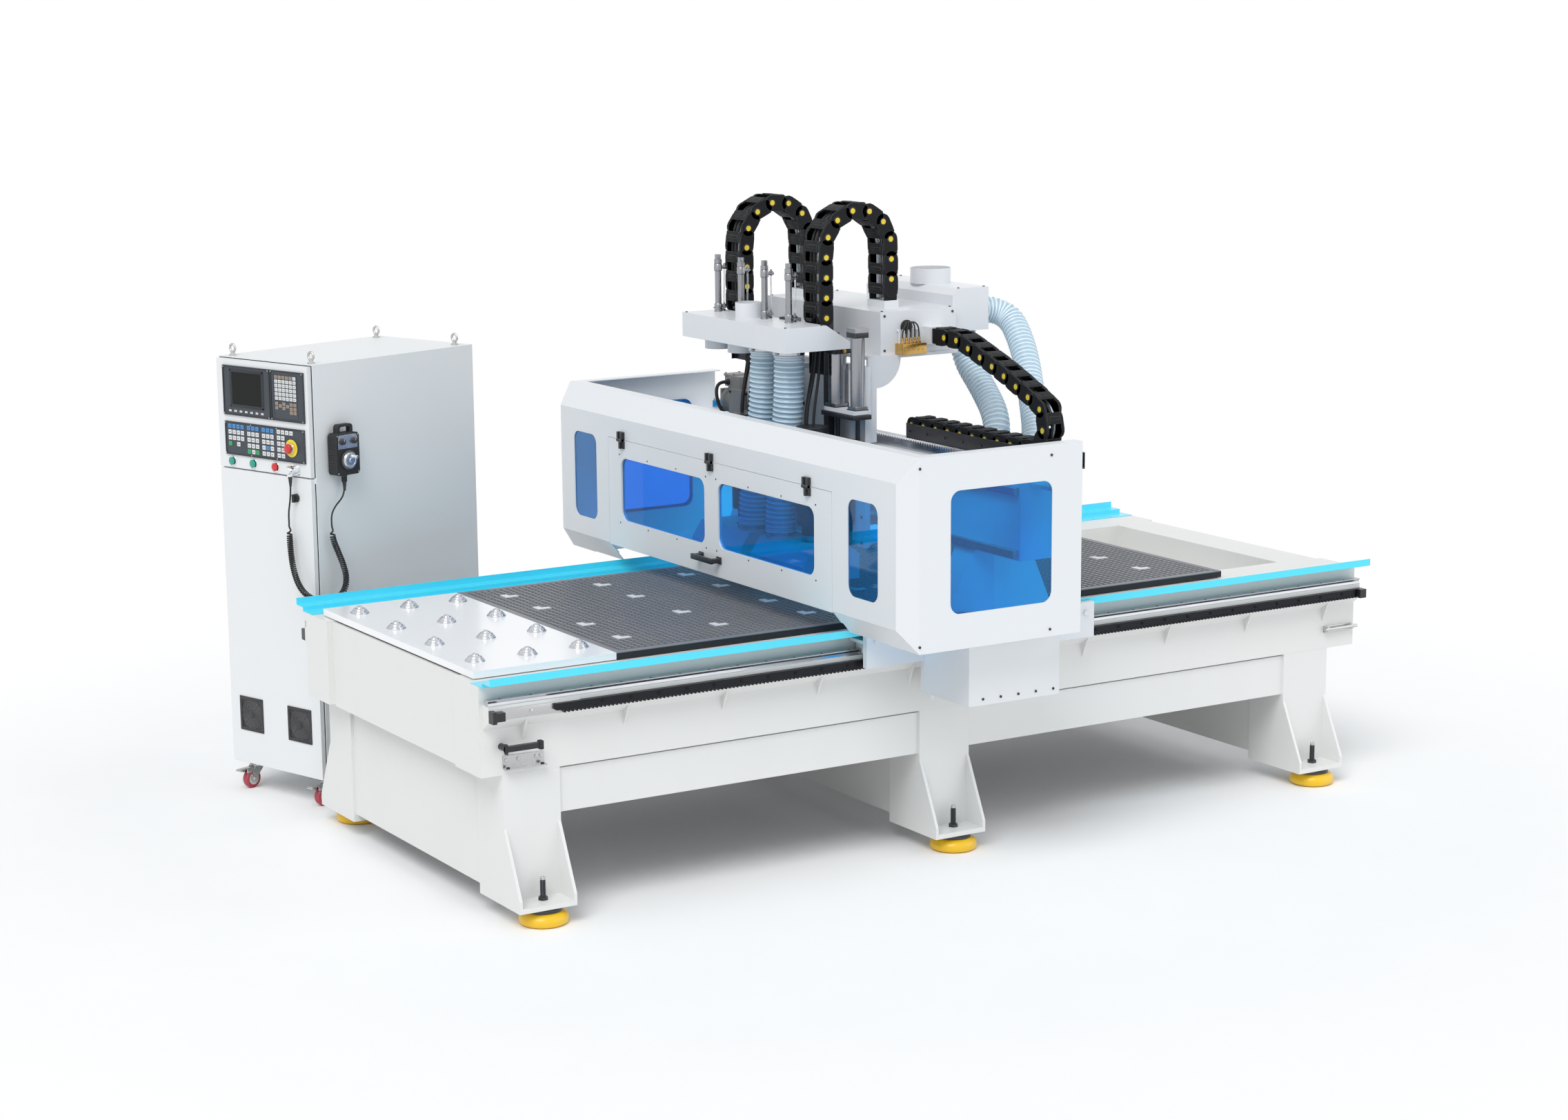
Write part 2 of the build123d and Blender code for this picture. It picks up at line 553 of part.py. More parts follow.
connector_x = 186.0
plug_z = 1359.0
plug_y = CABINET_FRONT - 32.0
plug_bottom = 1335.0
with BuildPart() as cord_connector:
    block((connector_x - 24, connector_x + 24), (CABINET_FRONT - 4, CABINET_FRONT),
          (plug_z - 20, plug_z + 20))
    rod((connector_x, plug_y - 16, plug_z), (connector_x, CABINET_FRONT - 4, plug_z), 17)
    rod((connector_x, plug_y, plug_bottom), (connector_x, plug_y, plug_z), 12)

pendant_y = (-362.0, -243.0)
pendant_z = (1335.0, 1500.0)
pendant_back = CABINET_SIDE + 8.0
pendant_face = CABINET_SIDE + 58.0
pendant_middle = sum(pendant_y) / 2
wheel_spot = (pendant_middle, 1394.0)
knob_spots = ((pendant_y[0] + 30, 1468.0), (pendant_y[1] - 30, 1468.0))
gland_bottom = 1306.0

with BuildPart() as pendant_body:
    with BuildSketch(Plane(origin=(pendant_back, 0, 0), x_dir=(0, 1, 0), z_dir=(1, 0, 0))) as outline:
        with Locations((pendant_middle, sum(pendant_z) / 2)):
            RectangleRounded(pendant_y[1] - pendant_y[0], pendant_z[1] - pendant_z[0], 16)
    extrude(outline.sketch, amount=pendant_face - pendant_back)
    with BuildSketch(Plane(origin=(pendant_back + 12, 0, 0), x_dir=(0, 1, 0), z_dir=(1, 0, 0))) as grip:
        with Locations((pendant_middle, pendant_z[1] + 4)):
            RectangleRounded(80, 60, 14)
        with Locations((pendant_middle, pendant_z[1] + 8)):
            RectangleRounded(52, 32, 8, mode=Mode.SUBTRACT)
        with Locations((pendant_middle, pendant_z[1] - 20)):
            Rectangle(90, 40, mode=Mode.SUBTRACT)
    extrude(grip.sketch, amount=24)
    block((CABINET_SIDE, pendant_back), (pendant_middle - 22, pendant_middle + 22), (1440, 1490))
    cord_x = CABINET_SIDE + 30
    rod((cord_x, pendant_middle, gland_bottom), (cord_x, pendant_middle, pendant_z[0]), 11)
    for y, z in (wheel_spot, *knob_spots):
        rod((pendant_face - 12, y, z), (pendant_face, y, z), 4 + RUNNING_GAP, Mode.SUBTRACT)

with BuildPart() as pendant_handwheel:
    y, z = wheel_spot
    face = pendant_face + SLIDE_GAP
    rod((pendant_face - 11, y, z), (face, y, z), 4)
    rod((face, y, z), (face + 6, y, z), 40)
    rod((face + 6, y, z), (face + 18, y, z), 30)
    rod((face + 18, y + 18, z + 12), (face + 34, y + 18, z + 12), 7)


def pendant_knob(spot):
    """A selector knob on the pendant's face."""
    knob_y, knob_z = spot
    base = pendant_face + SLIDE_GAP
    rod((pendant_face - 11, knob_y, knob_z), (base, knob_y, knob_z), 4)
    rod((base, knob_y, knob_z), (base + 12, knob_y, knob_z), 13)
    block((base + 12, base + 15), (knob_y - 2, knob_y + 2), (knob_z, knob_z + 11))


with BuildPart() as pendant_knob_left:
    pendant_knob(knob_spots[0])

with BuildPart() as pendant_knob_right:
    pendant_knob(knob_spots[1])

# the pendant's curly cord: a straight lead at each end and the coil's outer shape between them
CORD_RADIUS = 3.5
COIL_RADIUS = 13.0
COIL_START = (168.0, plug_y, 1150.0)
COIL_END = (cord_x, pendant_middle - 74, 1146.0)
front_lead = [(connector_x, plug_y, plug_bottom), (connector_x, plug_y, 1288.0),
              (connector_x - 6, plug_y, 1238.0), (COIL_START[0], plug_y, 1194.0), COIL_START]
coil_route = [COIL_START, (COIL_START[0], plug_y, 1078.0), (177.0, plug_y - 3, 1012.0),
              (198.0, plug_y - 9, 954.0), (230.0, plug_y - 13, 904.0), (262.0, plug_y - 3, 870.0),
              (292.0, plug_y + 24, 849.0), (317.0, plug_y + 61, 842.0), (334.0, plug_y + 100, 857.0),
              (340.0, plug_y + 129, 891.0), (336.0, plug_y + 140, 934.0), (328.0, plug_y + 132, 984.0),
              (318.0, plug_y + 114, 1040.0), (COIL_END[0], COIL_END[1], 1094.0), COIL_END]
side_lead = [COIL_END, (COIL_END[0], COIL_END[1], 1184.0), (cord_x + 2, COIL_END[1] + 22, 1218.0),
             (cord_x + 2, pendant_middle - 16, 1242.0), (cord_x, pendant_middle, 1274.0),
             (cord_x, pendant_middle, gland_bottom)]

with BuildPart() as cord_lead_cabinet:
    front_radii = hose(front_lead, CORD_RADIUS)

with BuildPart() as pendant_cord:
    coil_radii = hose(coil_route, COIL_RADIUS)

with BuildPart() as cord_lead_pendant:
    side_radii = hose(side_lead, CORD_RADIUS)

for cord, radii in (("front lead", front_radii), ("coil", coil_radii), ("side lead", side_radii)):
    print(cord, "bend radii:", ", ".join(f"{radius:.0f}" for radius in radii))

# ================================================================ gantry

shaft_radius = 12.0
bearing_starts = (SHOE_SPAN[0] + 24, SHOE_SPAN[1] - 134)
bearing_length = 110.0
rear_outlet_x = GANTRY_BACK + 125
rear_outlet_ys = (-640.0, -470.0)

with BuildPart() as gantry_beam:
    beam_x = (BEAM_FRONT, GANTRY_BACK)
    block(beam_x, (-GANTRY_HALF_WIDTH, GANTRY_HALF_WIDTH), (GANTRY_BOTTOM, GANTRY_TOP))
    block((beam_x[0] + BEAM_WALL, beam_x[1] - BEAM_WALL),
          (-GANTRY_HALF_WIDTH + BEAM_WALL, GANTRY_HALF_WIDTH - BEAM_WALL),
          (GANTRY_BOTTOM + BEAM_WALL, GANTRY_TOP - BEAM_WALL), Mode.SUBTRACT)
    for side in (-1, 1):
        # lug that carries the guard's side panel
        block((beam_x[0] + 40, GUARD_BACK - 20),
              side_span(side, GANTRY_HALF_WIDTH, GUARD_HALF_WIDTH - GUARD_SHEET),
              (GANTRY_TOP - 40, GANTRY_TOP - 28))
    # collars that take the lower ends of the two rear suction hoses
    for y in rear_outlet_ys:
        block((GANTRY_BACK, rear_outlet_x), (y - 40, y + 40), (1240, 1300))
        rod((rear_outlet_x, y, 1230), (rear_outlet_x, y, 1330), 60)
        rod((rear_outlet_x, y, 1230), (rear_outlet_x, y, 1330), 52 + SLIDE_GAP, Mode.SUBTRACT)

with BuildPart() as gantry_columns:
    outline = [(COLUMN_FOOT[0], COLUMN_BOTTOM), (COLUMN_FOOT[1], COLUMN_BOTTOM),
               (COLUMN_HEAD[1], GANTRY_BOTTOM), (COLUMN_HEAD[0], GANTRY_BOTTOM)]
    for side in (-1, 1):
        outer = WEB_OUTER_Y if side > 0 else -WEB_OUTER_Y + COLUMN_THICK
        prism(along(outer), outline, COLUMN_THICK)
        fold = [(COLUMN_FOLD_X, side * (WEB_OUTER_Y + 1)), (COLUMN_FOOT[0] - 20, side * (WEB_OUTER_Y + 1)),
                (COLUMN_FOOT[0] - 20, side * (WEB_OUTER_Y - COLUMN_FOLD_DEPTH))]
        prism(level(COLUMN_BOTTOM), fold, GANTRY_BOTTOM - COLUMN_BOTTOM, Mode.SUBTRACT)

with BuildPart() as x_carriages:
    for side in (-1, 1):
        web_y = side_span(side, WEB_INNER_Y, WEB_OUTER_Y)
        web = [(SHOE_SPAN[0], SHOE_BOTTOM), (SHOE_SPAN[1], SHOE_BOTTOM), (SHOE_SPAN[1], SHOE_TOP),
               (COLUMN_FOOT[1] + 15, SHOE_TOP), (COLUMN_FOOT[1], COLUMN_BOTTOM),
               (COLUMN_FOOT[0], COLUMN_BOTTOM), (COLUMN_FOOT[0] - 15, SHOE_TOP), (SHOE_SPAN[0], SHOE_TOP)]
        prism(along(max(web_y)), web, WEB_THICK)
        plate_z = (BEAM_TOP - SEAT_GAP - 12, BEAM_TOP - SEAT_GAP)
        block(SHOE_SPAN, side_span(side, RAIL_INNER_Y - 12, WEB_INNER_Y), plate_z)
        for start in bearing_starts:
            block((start, start + bearing_length), side_span(side, RAIL_INNER_Y - 10, RAIL_OUTER_Y + 10),
                  (SEAT_TOP + 5, plate_z[0]))
            block((start, start + bearing_length),
                  side_span(side, RAIL_INNER_Y - SLIDE_GAP, RAIL_OUTER_Y + SLIDE_GAP),
                  (SEAT_TOP + 5, RAIL_TOP + SLIDE_GAP), Mode.SUBTRACT)
        for bolt_x in (SHOE_SPAN[0] + 40, SHOE_SPAN[0] + 150, SHOE_SPAN[1] - 150, SHOE_SPAN[1] - 40):
            rod((bolt_x, side * WEB_OUTER_Y, SHOE_TOP - 40),
                (bolt_x, side * (WEB_OUTER_Y + 10), SHOE_TOP - 40), 11)

with BuildPart() as x_drive_boxes:
    for side in (-1, 1):
        inner, outer = WEB_OUTER_Y, WEB_OUTER_Y + DRIVE_REACH
        block(DRIVE_SPAN, side_span(side, inner, outer), (DRIVE_BOTTOM, SHOE_TOP))
        block((DRIVE_SPAN[0] + SHEET, DRIVE_SPAN[1] - SHEET), side_span(side, inner + SHEET, outer - SHEET),
              (DRIVE_BOTTOM + SHEET, SHOE_TOP - SHEET), Mode.SUBTRACT)
        block(DRIVE_SPAN, side_span(side, WEB_INNER_Y, inner), (DRIVE_BOTTOM, SHOE_BOTTOM))
        # gearmotor inside the cover, bolted to its inner wall
        rod((PINION_X, side * (inner + SHEET), PINION_Z), (PINION_X, side * (outer - 30), PINION_Z), 55)
        rod((PINION_X, side * WEB_INNER_Y, PINION_Z), (PINION_X, side * (inner + 20), PINION_Z),
            shaft_radius + RUNNING_GAP, Mode.SUBTRACT)
        rod((DRIVE_SPAN[0] + 22, side * (inner + 16), DRIVE_BOTTOM - 22),
            (DRIVE_SPAN[0] + 22, side * (inner + 16), DRIVE_BOTTOM), 9)

with BuildPart() as x_pinions:
    for side in (-1, 1):
        face = SEAT_OUTER_Y + 1 if side < 0 else RACK_OUTER_Y
        gear_plane = Plane(origin=(PINION_X, side * face, PINION_Z), x_dir=(0, 0, 1), z_dir=(0, -1, 0))
        prism(gear_plane, gear_outline(PINION_TEETH, RACK_MODULE), RACK_WIDTH - 1)
        rod((PINION_X, side * (SEAT_OUTER_Y + 1), PINION_Z),
            (PINION_X, side * (WEB_OUTER_Y + 19), PINION_Z),
            shaft_radius)

drive_start_y = HEAD_BOX_Y[1] + 12
y_drive_y = drive_start_y + 60
cross_rack_x = (BEAM_FRONT + 30, BEAM_FRONT + 52)
cross_rack_top = GANTRY_TOP + 40
y_pinion_z = cross_rack_top - RACK_MODULE + PITCH_RADIUS

with BuildPart() as y_rails:
    for z in CROSS_RAIL_Z:
        low, high, front = z - CROSS_RAIL_WIDTH / 2, z + CROSS_RAIL_WIDTH / 2, BEAM_FRONT - CROSS_RAIL_DEPTH
        profile = [(BEAM_FRONT, low), (BEAM_FRONT, high), (front + 9, high), (front + 6, high - 4),
                   (front, high), (front, low), (front + 6, low + 4), (front + 9, low)]
        prism(along(GANTRY_HALF_WIDTH - 10), profile, 2 * GANTRY_HALF_WIDTH - 20)
    teeth = rack_outline(-GANTRY_HALF_WIDTH + 10, GANTRY_HALF_WIDTH - 10, GANTRY_TOP,
                         cross_rack_top, y_drive_y)
    prism(across(cross_rack_x[0]), teeth, cross_rack_x[1] - cross_rack_x[0])


def guard_body(inset):
    """The guard's bevelled outer shape, shrunk by a wall on every side but the back."""
    front, top, bottom = GUARD_FRONT + inset, GUARD_TOP - inset, GUARD_BOTTOM + inset
    corner = 0.5 * inset
    profile = [(front, FACE_BOTTOM + corner), (front, FACE_TOP - corner),
               (GUARD_FRONT + GUARD_BEVEL + corner, top), (GUARD_BACK + inset, top),
               (GUARD_BACK + inset, bottom), (GUARD_FRONT + GUARD_BEVEL + corner, bottom)]
    mode = Mode.SUBTRACT if inset else Mode.ADD
    half = GUARD_HALF_WIDTH - inset
    side_drop = GUARD_HALF_WIDTH - FACE_HALF_WIDTH
    with BuildPart(mode=Mode.PRIVATE) as body:
        prism(along(half), profile, 2 * half)
        for side in (-1, 1):
            bevel = [(front - 1, side * (half - side_drop)), (front - 1, side * (half + 1)),
                     (front + GUARD_BEVEL, side * (half + 1)), (front + GUARD_BEVEL, side * half),
                     (front, side * (half - side_drop))]
            prism(level(bottom - 1), bevel, top - bottom + 2, Mode.SUBTRACT)
    add(body.part, mode=mode)


def rounded_hole(plane, centre, size, depth, radius, mode=Mode.SUBTRACT):
    """A rounded rectangle pushed into the part from a plane."""
    with BuildSketch(plane) as hole:
        with Locations(centre):
            RectangleRounded(*size, radius)
    extrude(hole.sketch, amount=depth, mode=mode)


side_window = ((-390.0, 46.0), (1020.0, 1458.0))
front_window = ((940.0, 1133.0), (1055.0, 1406.0))
door_windows_y = ((69.0, 731.0), (-717.0, -33.0))
door_window_z = (1087.0, 1340.0)


def middle_and_size(first, second, grow=0.0):
    """Centre and size of a rectangle given as two spans."""
    centre = (sum(first) / 2, sum(second) / 2)
    return centre, (first[1] - first[0] + 2 * grow, second[1] - second[0] + 2 * grow)


with BuildPart() as guard_shell:
    guard_body(0.0)
    guard_body(GUARD_SHEET)
    inner_side = GUARD_HALF_WIDTH - GUARD_FLANGE
    # open top, open bottom and the doorway
    block((GUARD_FRONT + GUARD_BEVEL + GUARD_FLANGE, GUARD_BACK), (-inner_side, inner_side),
          (GUARD_TOP - 20, GUARD_TOP), Mode.SUBTRACT)
    open_bottom = WEB_OUTER_Y + DRIVE_REACH - 50
    block((GUARD_FRONT, GUARD_BACK), (-open_bottom, open_bottom),
          (GUARD_BOTTOM, GUARD_BOTTOM + GUARD_SHEET),
          Mode.SUBTRACT)
    block((GUARD_FRONT, GUARD_FRONT + 150), (-DOOR_HALF_WIDTH - 2, DOOR_HALF_WIDTH + 2),
          (GUARD_BOTTOM, DOOR_TOP + 2), Mode.SUBTRACT)
    lower_corner = WEB_INNER_Y + 5
    block((GUARD_FRONT, GUARD_FRONT + 150), (-lower_corner, lower_corner),
          (GUARD_BOTTOM, GUARD_BOTTOM + 40),
          Mode.SUBTRACT)
    for side in (-1, 1):
        centre, size = middle_and_size(*side_window)
        rounded_hole(along(side * GUARD_HALF_WIDTH + (0 if side > 0 else 10)), centre, size, 10,
                     CORNER_RADIUS)
        centre, size = middle_and_size(side_span(side, *front_window[0]), front_window[1])
        rounded_hole(across(GUARD_FRONT), centre, size, 10, CORNER_RADIUS)

with BuildPart() as guard_windows:
    lap = 12.0
    for side in (-1, 1):
        outer_pane = side * (GUARD_HALF_WIDTH - GUARD_SHEET)
        centre, size = middle_and_size(*side_window, lap)
        rounded_hole(along(outer_pane + (0 if side > 0 else PANE)), centre, size, PANE,
                     CORNER_RADIUS, Mode.ADD)
        centre, size = middle_and_size(side_span(side, *front_window[0]), front_window[1], lap)
        rounded_hole(across(GUARD_FRONT + GUARD_SHEET), centre, size, PANE, CORNER_RADIUS, Mode.ADD)

hinge_axis_x = GUARD_FRONT - HINGE_RADIUS
hinge_axis_z = DOOR_TOP + 1
hinge_half = 45.0
knuckle_half = 15.0
leaf_thick = 3.0
pin_radius = 4.0

with BuildPart() as guard_hinges:
    for y in HINGE_YS:
        for low, high in ((y - hinge_half, y - knuckle_half - SLIDE_GAP),
                          (y + knuckle_half + SLIDE_GAP, y + hinge_half)):
            rod((hinge_axis_x, low, hinge_axis_z), (hinge_axis_x, high, hinge_axis_z), HINGE_RADIUS - 1)
            block((GUARD_FRONT - leaf_thick, GUARD_FRONT), (low, high),
                  (hinge_axis_z + 3, hinge_axis_z + 34))
            block((hinge_axis_x, GUARD_FRONT), (low, high), (hinge_axis_z + 3, hinge_axis_z + 9))
        rod((hinge_axis_x, y - hinge_half, hinge_axis_z),
            (hinge_axis_x, y + hinge_half, hinge_axis_z), pin_radius)

with BuildPart() as guard_door:
    door_y = (-DOOR_HALF_WIDTH, DOOR_HALF_WIDTH)
    block((GUARD_FRONT, GUARD_FRONT + DOOR_THICK), door_y, (DOOR_BOTTOM, DOOR_TOP))
    for window_y in door_windows_y:
        centre, size = middle_and_size(window_y, door_window_z)
        rounded_hole(across(GUARD_FRONT), centre, size, DOOR_THICK, CORNER_RADIUS)

with BuildPart() as door_windows:
    for window_y in door_windows_y:
        centre, size = middle_and_size(window_y, door_window_z)
        rounded_hole(across(GUARD_FRONT + 7), centre, size, PANE, CORNER_RADIUS, Mode.ADD)

with BuildPart() as door_hardware:
    for y in HINGE_YS:
        rod((hinge_axis_x, y - knuckle_half, hinge_axis_z), (hinge_axis_x, y + knuckle_half, hinge_axis_z),
            HINGE_RADIUS - 1)
        block((GUARD_FRONT - leaf_thick, GUARD_FRONT), (y - hinge_half, y + hinge_half),
              (hinge_axis_z - 40, hinge_axis_z - 12))
        block((hinge_axis_x + 3, GUARD_FRONT), (y - knuckle_half, y + knuckle_half),
              (hinge_axis_z - 14, hinge_axis_z - 3))
        rod((hinge_axis_x, y - knuckle_half, hinge_axis_z), (hinge_axis_x, y + knuckle_half, hinge_axis_z),
            pin_radius + RUNNING_GAP, Mode.SUBTRACT)
    handle_z, handle_x = 1040.0, GUARD_FRONT - 38
    for y in (-46.0, 142.0):
        rod((handle_x, y, handle_z), (GUARD_FRONT, y, handle_z), 8)
    rod((handle_x, -52, handle_z), (handle_x, 148, handle_z), 8)

CHAIN_LINK = 66.0
CHAIN_WIDTH = 80.0
tray_x = (GANTRY_BACK - 35, GANTRY_BACK + 65)
chain_end_z = 1862.0


def chain_band(plane, points, radius, width):
    """A cable chain as one band of link height, bent along its path."""
    with BuildSketch(plane) as band:
        with BuildLine():
            FilletPolyline(*points, radius=radius)
        trace(line_width=CHAIN_LINK)
    extrude(band.sketch, amount=width)


tray_floor = GANTRY_TOP + 20
with BuildPart() as cable_chain_y:
    block(tray_x, (-1110, -100), (GANTRY_TOP, tray_floor))
    for wall_x in (tray_x[0] - SHEET, tray_x[1]):
        block((wall_x, wall_x + SHEET), (-1110, -100), (GANTRY_TOP, GANTRY_TOP + 60))
    chain_middle_z = tray_floor + CHAIN_LINK / 2
    chain_path = [(-150, chain_middle_z), (-970, chain_middle_z), (-970, 1655), (-690, 1770),
                  (-420, chain_end_z), (HEAD_BOX_Y[0] - 55, chain_end_z)]
    chain_band(across(tray_x[0] + 10), chain_path, [72, 72, 300, 200], CHAIN_WIDTH)

# ================================================================ head

PLATE_EDGE = PLATE_SPAN_Y[1]
z_rail_offset = 55.0
z_rail_front = PLATE_FRONT - 12
slide_front, slide_back = z_rail_front - 32, z_rail_front - 8
cylinder_x = PLATE_FRONT - 38
balance_radius, lift_radius = 35.0, 27.5
balance_offset, lift_offset = -6.0, -146.0
cylinder_foot = PLATE_SPAN_Z[1] - 160
gate_tube, balance_tube, lift_tube = 190.0, 206.0, 278.0
rod_radius = 9.0
station_x = SPINDLE_X - 36
station_ys = [STATION_FIRST - 49 + number * STATION_PITCH for number in range(4)]
manifold_z = (1825.0, 1920.0)
arm_spots = (98.0, 287.0)
chain_leg_x = (-139.0, 157.0)
chain_near_ys = (-100.0, 485.0)
tall_chain_width = 118.0
unit_top = 1937.0
bracket_top = HEAD_BOX_Z[1] + 30

with BuildPart() as head_carriage:
    block((PLATE_FRONT, PLATE_BACK), PLATE_SPAN_Y, PLATE_SPAN_Z)
    for y in (PLATE_SPAN_Y[0] + 100, PLATE_EDGE - 120):
        for z in CROSS_RAIL_Z:
            block((PLATE_BACK, BEAM_FRONT - 6), (y - 50, y + 50), (z - 26, z + 26))
            half = CROSS_RAIL_WIDTH / 2 + SLIDE_GAP
            block((BEAM_FRONT - CROSS_RAIL_DEPTH - SLIDE_GAP, BEAM_FRONT - 6), (y - 50, y + 50),
                  (z - half, z + half), Mode.SUBTRACT)
    for unit_y in SPINDLE_YS:
        for y in (unit_y - z_rail_offset, unit_y + z_rail_offset):
            block((z_rail_front, PLATE_FRONT), (y - 10, y + 10),
                  (PLATE_SPAN_Z[0] + 20, PLATE_SPAN_Z[1] - 20))
        block((cylinder_x - 40, PLATE_FRONT), (unit_y - 180, unit_y + 30),
              (cylinder_foot - 15, cylinder_foot))
        for offset in (balance_offset, lift_offset):
            foot = (cylinder_x, unit_y + offset, cylinder_foot - 15)
            rod(foot, (foot[0], foot[1], cylinder_foot), rod_radius + SLIDE_GAP, Mode.SUBTRACT)
    for y in arm_spots:
        block((station_x + 40, PLATE_FRONT), (y - 13, y + 13), (PLATE_SPAN_Z[1] - 30, PLATE_SPAN_Z[1] - 10))
        block((station_x + 40, station_x + 58), (y - 13, y + 13), (PLATE_SPAN_Z[1] - 30, manifold_z[0]))
    # swept brackets at both ends carry the shelf under the head box
    shelf_z = (HEAD_BOX_Z[0] - 12, HEAD_BOX_Z[0])
    bend_radius = 110
    leg_right = BEAM_FRONT - 16
    for y in (HEAD_BOX_Y[0] - 12, HEAD_BOX_Y[1] - 12):
        with BuildSketch(along(y + 12)) as bracket:
            with BuildLine():
                Line((PLATE_BACK, GANTRY_TOP + 15), (leg_right, GANTRY_TOP + 15))
                Line((leg_right, GANTRY_TOP + 15), (leg_right, shelf_z[0] - bend_radius))
                RadiusArc((leg_right, shelf_z[0] - bend_radius),
                          (leg_right + bend_radius, shelf_z[0]), -bend_radius)
                Line((leg_right + bend_radius, shelf_z[0]), (leg_right + bend_radius, shelf_z[1]))
                Line((leg_right + bend_radius, shelf_z[1]), (PLATE_BACK, shelf_z[1]))
                Line((PLATE_BACK, shelf_z[1]), (PLATE_BACK, GANTRY_TOP + 15))
            make_face()
        extrude(bracket.sketch, amount=12)
    block((PLATE_BACK, HEAD_BOX_X[1]), (HEAD_BOX_Y[0] - 12, HEAD_BOX_Y[1] + 12), shelf_z)

with BuildPart() as head_box:
    block(HEAD_BOX_X, HEAD_BOX_Y, HEAD_BOX_Z)
    inner = [(low + BOX_SHEET, high - BOX_SHEET) for low, high in (HEAD_BOX_X, HEAD_BOX_Y, HEAD_BOX_Z)]
    block(*inner, Mode.SUBTRACT)
    for near_y in chain_near_ys:
        block((chain_leg_x[1] - CHAIN_LINK / 2, chain_leg_x[1] + CHAIN_LINK / 2),
              (near_y, near_y + tall_chain_width), (HEAD_BOX_Z[1], bracket_top))
    block((tray_x[0] + 10, tray_x[0] + 10 + CHAIN_WIDTH), (HEAD_BOX_Y[0] - 55, HEAD_BOX_Y[0]),
          (chain_end_z - CHAIN_LINK / 2, chain_end_z + CHAIN_LINK / 2))
    # lubricator block with five outlets
    face_y = HEAD_BOX_Y[0]
    block((107, 214), (face_y - 26, face_y), (HEAD_BOX_Z[0] + 2, HEAD_BOX_Z[0] + 42))
    for number in range(5):
        outlet_x = 118 + number * 21
        outlet = (outlet_x, face_y - 13, HEAD_BOX_Z[0] + 42)
        bend = (outlet_x, face_y - 13, HEAD_BOX_Z[0] + 88)
        rod(outlet, bend, 4)
        rod(bend, (outlet_x, face_y, HEAD_BOX_Z[0] + 92), 4)

rear_x = (HEAD_BOX_X[1], HEAD_BOX_X[1] + 170)
rear_y = (-176.0, 430.0)
rear_z = (1860.0, 2026.0)
rear_hose_radius, rear_hose_bore = 52.0, 48.0
upper_outlet = (rear_x[1], -95.0, 1930.0)
lower_outlet = (rear_x[0] + 88, -115.0, rear_z[0])
port_spot = (475.0, 100.0)
port_height = 60.0
PORT_RADIUS = 80.0
SMALL_PORT_RADIUS = 52.5
small_port_spot = (-260.0, 275.0)
front_x, front_y = (-365.0, -176.0), (-156.0, 612.0)
wing_tip_x, wing_thick = -28.0, 6.0

with BuildPart() as front_manifold:
    block(front_x, front_y, manifold_z)
    inner = [(low + BOX_SHEET, high - BOX_SHEET) for low, high in (front_x, front_y, manifold_z)]
    block(*inner, Mode.SUBTRACT)
    # the near side plate runs on past the box and tapers to a point over the cylinders
    wing = [(front_x[1], manifold_z[0]), (wing_tip_x, manifold_z[0]), (front_x[1], manifold_z[1])]
    prism(along(front_y[0] + wing_thick), wing, wing_thick)
    for y in station_ys:
        rod((station_x, y, manifold_z[0] - 50), (station_x, y, manifold_z[0]), HOSE_RADIUS - 3 - SLIDE_GAP)
        rod((station_x, y, manifold_z[0] - 50), (station_x, y, manifold_z[0] + BOX_SHEET), HOSE_RADIUS - 7,
            Mode.SUBTRACT)
        rod((station_x, y, manifold_z[1] - BOX_SHEET), (station_x, y, manifold_z[1]), 5 + SLIDE_GAP,
            Mode.SUBTRACT)
    small_port = (*small_port_spot, manifold_z[1])
    rod(small_port, (*small_port_spot, manifold_z[1] + 60), SMALL_PORT_RADIUS)
    rod((*small_port_spot, manifold_z[1] - BOX_SHEET), (*small_port_spot, manifold_z[1] + 60),
        SMALL_PORT_RADIUS - BOX_SHEET, Mode.SUBTRACT)

with BuildPart() as rear_manifold:
    # a box with its upper front edge bevelled
    bevel = 25
    for inset, mode in ((0, Mode.ADD), (BOX_SHEET, Mode.SUBTRACT)):
        profile = [(rear_x[0] + inset, rear_z[0] + inset), (rear_x[1] - inset, rear_z[0] + inset),
                   (rear_x[1] - inset, rear_z[1] - inset), (rear_x[0] + bevel + inset / 2,
                                                            rear_z[1] - inset),
                   (rear_x[0] + inset, rear_z[1] - bevel - inset / 2)]
        prism(along(rear_y[1] - inset), profile, rear_y[1] - rear_y[0] - 2 * inset, mode)
    port_top = rear_z[1] + port_height
    rod((*port_spot, rear_z[1]), (*port_spot, port_top), PORT_RADIUS)
    rod((*port_spot, rear_z[1] - BOX_SHEET), (*port_spot, port_top), PORT_RADIUS - BOX_SHEET,
        Mode.SUBTRACT)
    sleeve = rear_hose_bore - SLIDE_GAP
    x, y, z = upper_outlet
    rod((x, y, z), (x + 40, y, z), sleeve)
    rod((x - BOX_SHEET, y, z), (x + 40, y, z), sleeve - BOX_SHEET, Mode.SUBTRACT)
    x, y, z = lower_outlet
    rod((x, y, z - 40), (x, y, z), sleeve)
    rod((x, y, z - 40), (x, y, z + BOX_SHEET), sleeve - BOX_SHEET, Mode.SUBTRACT)

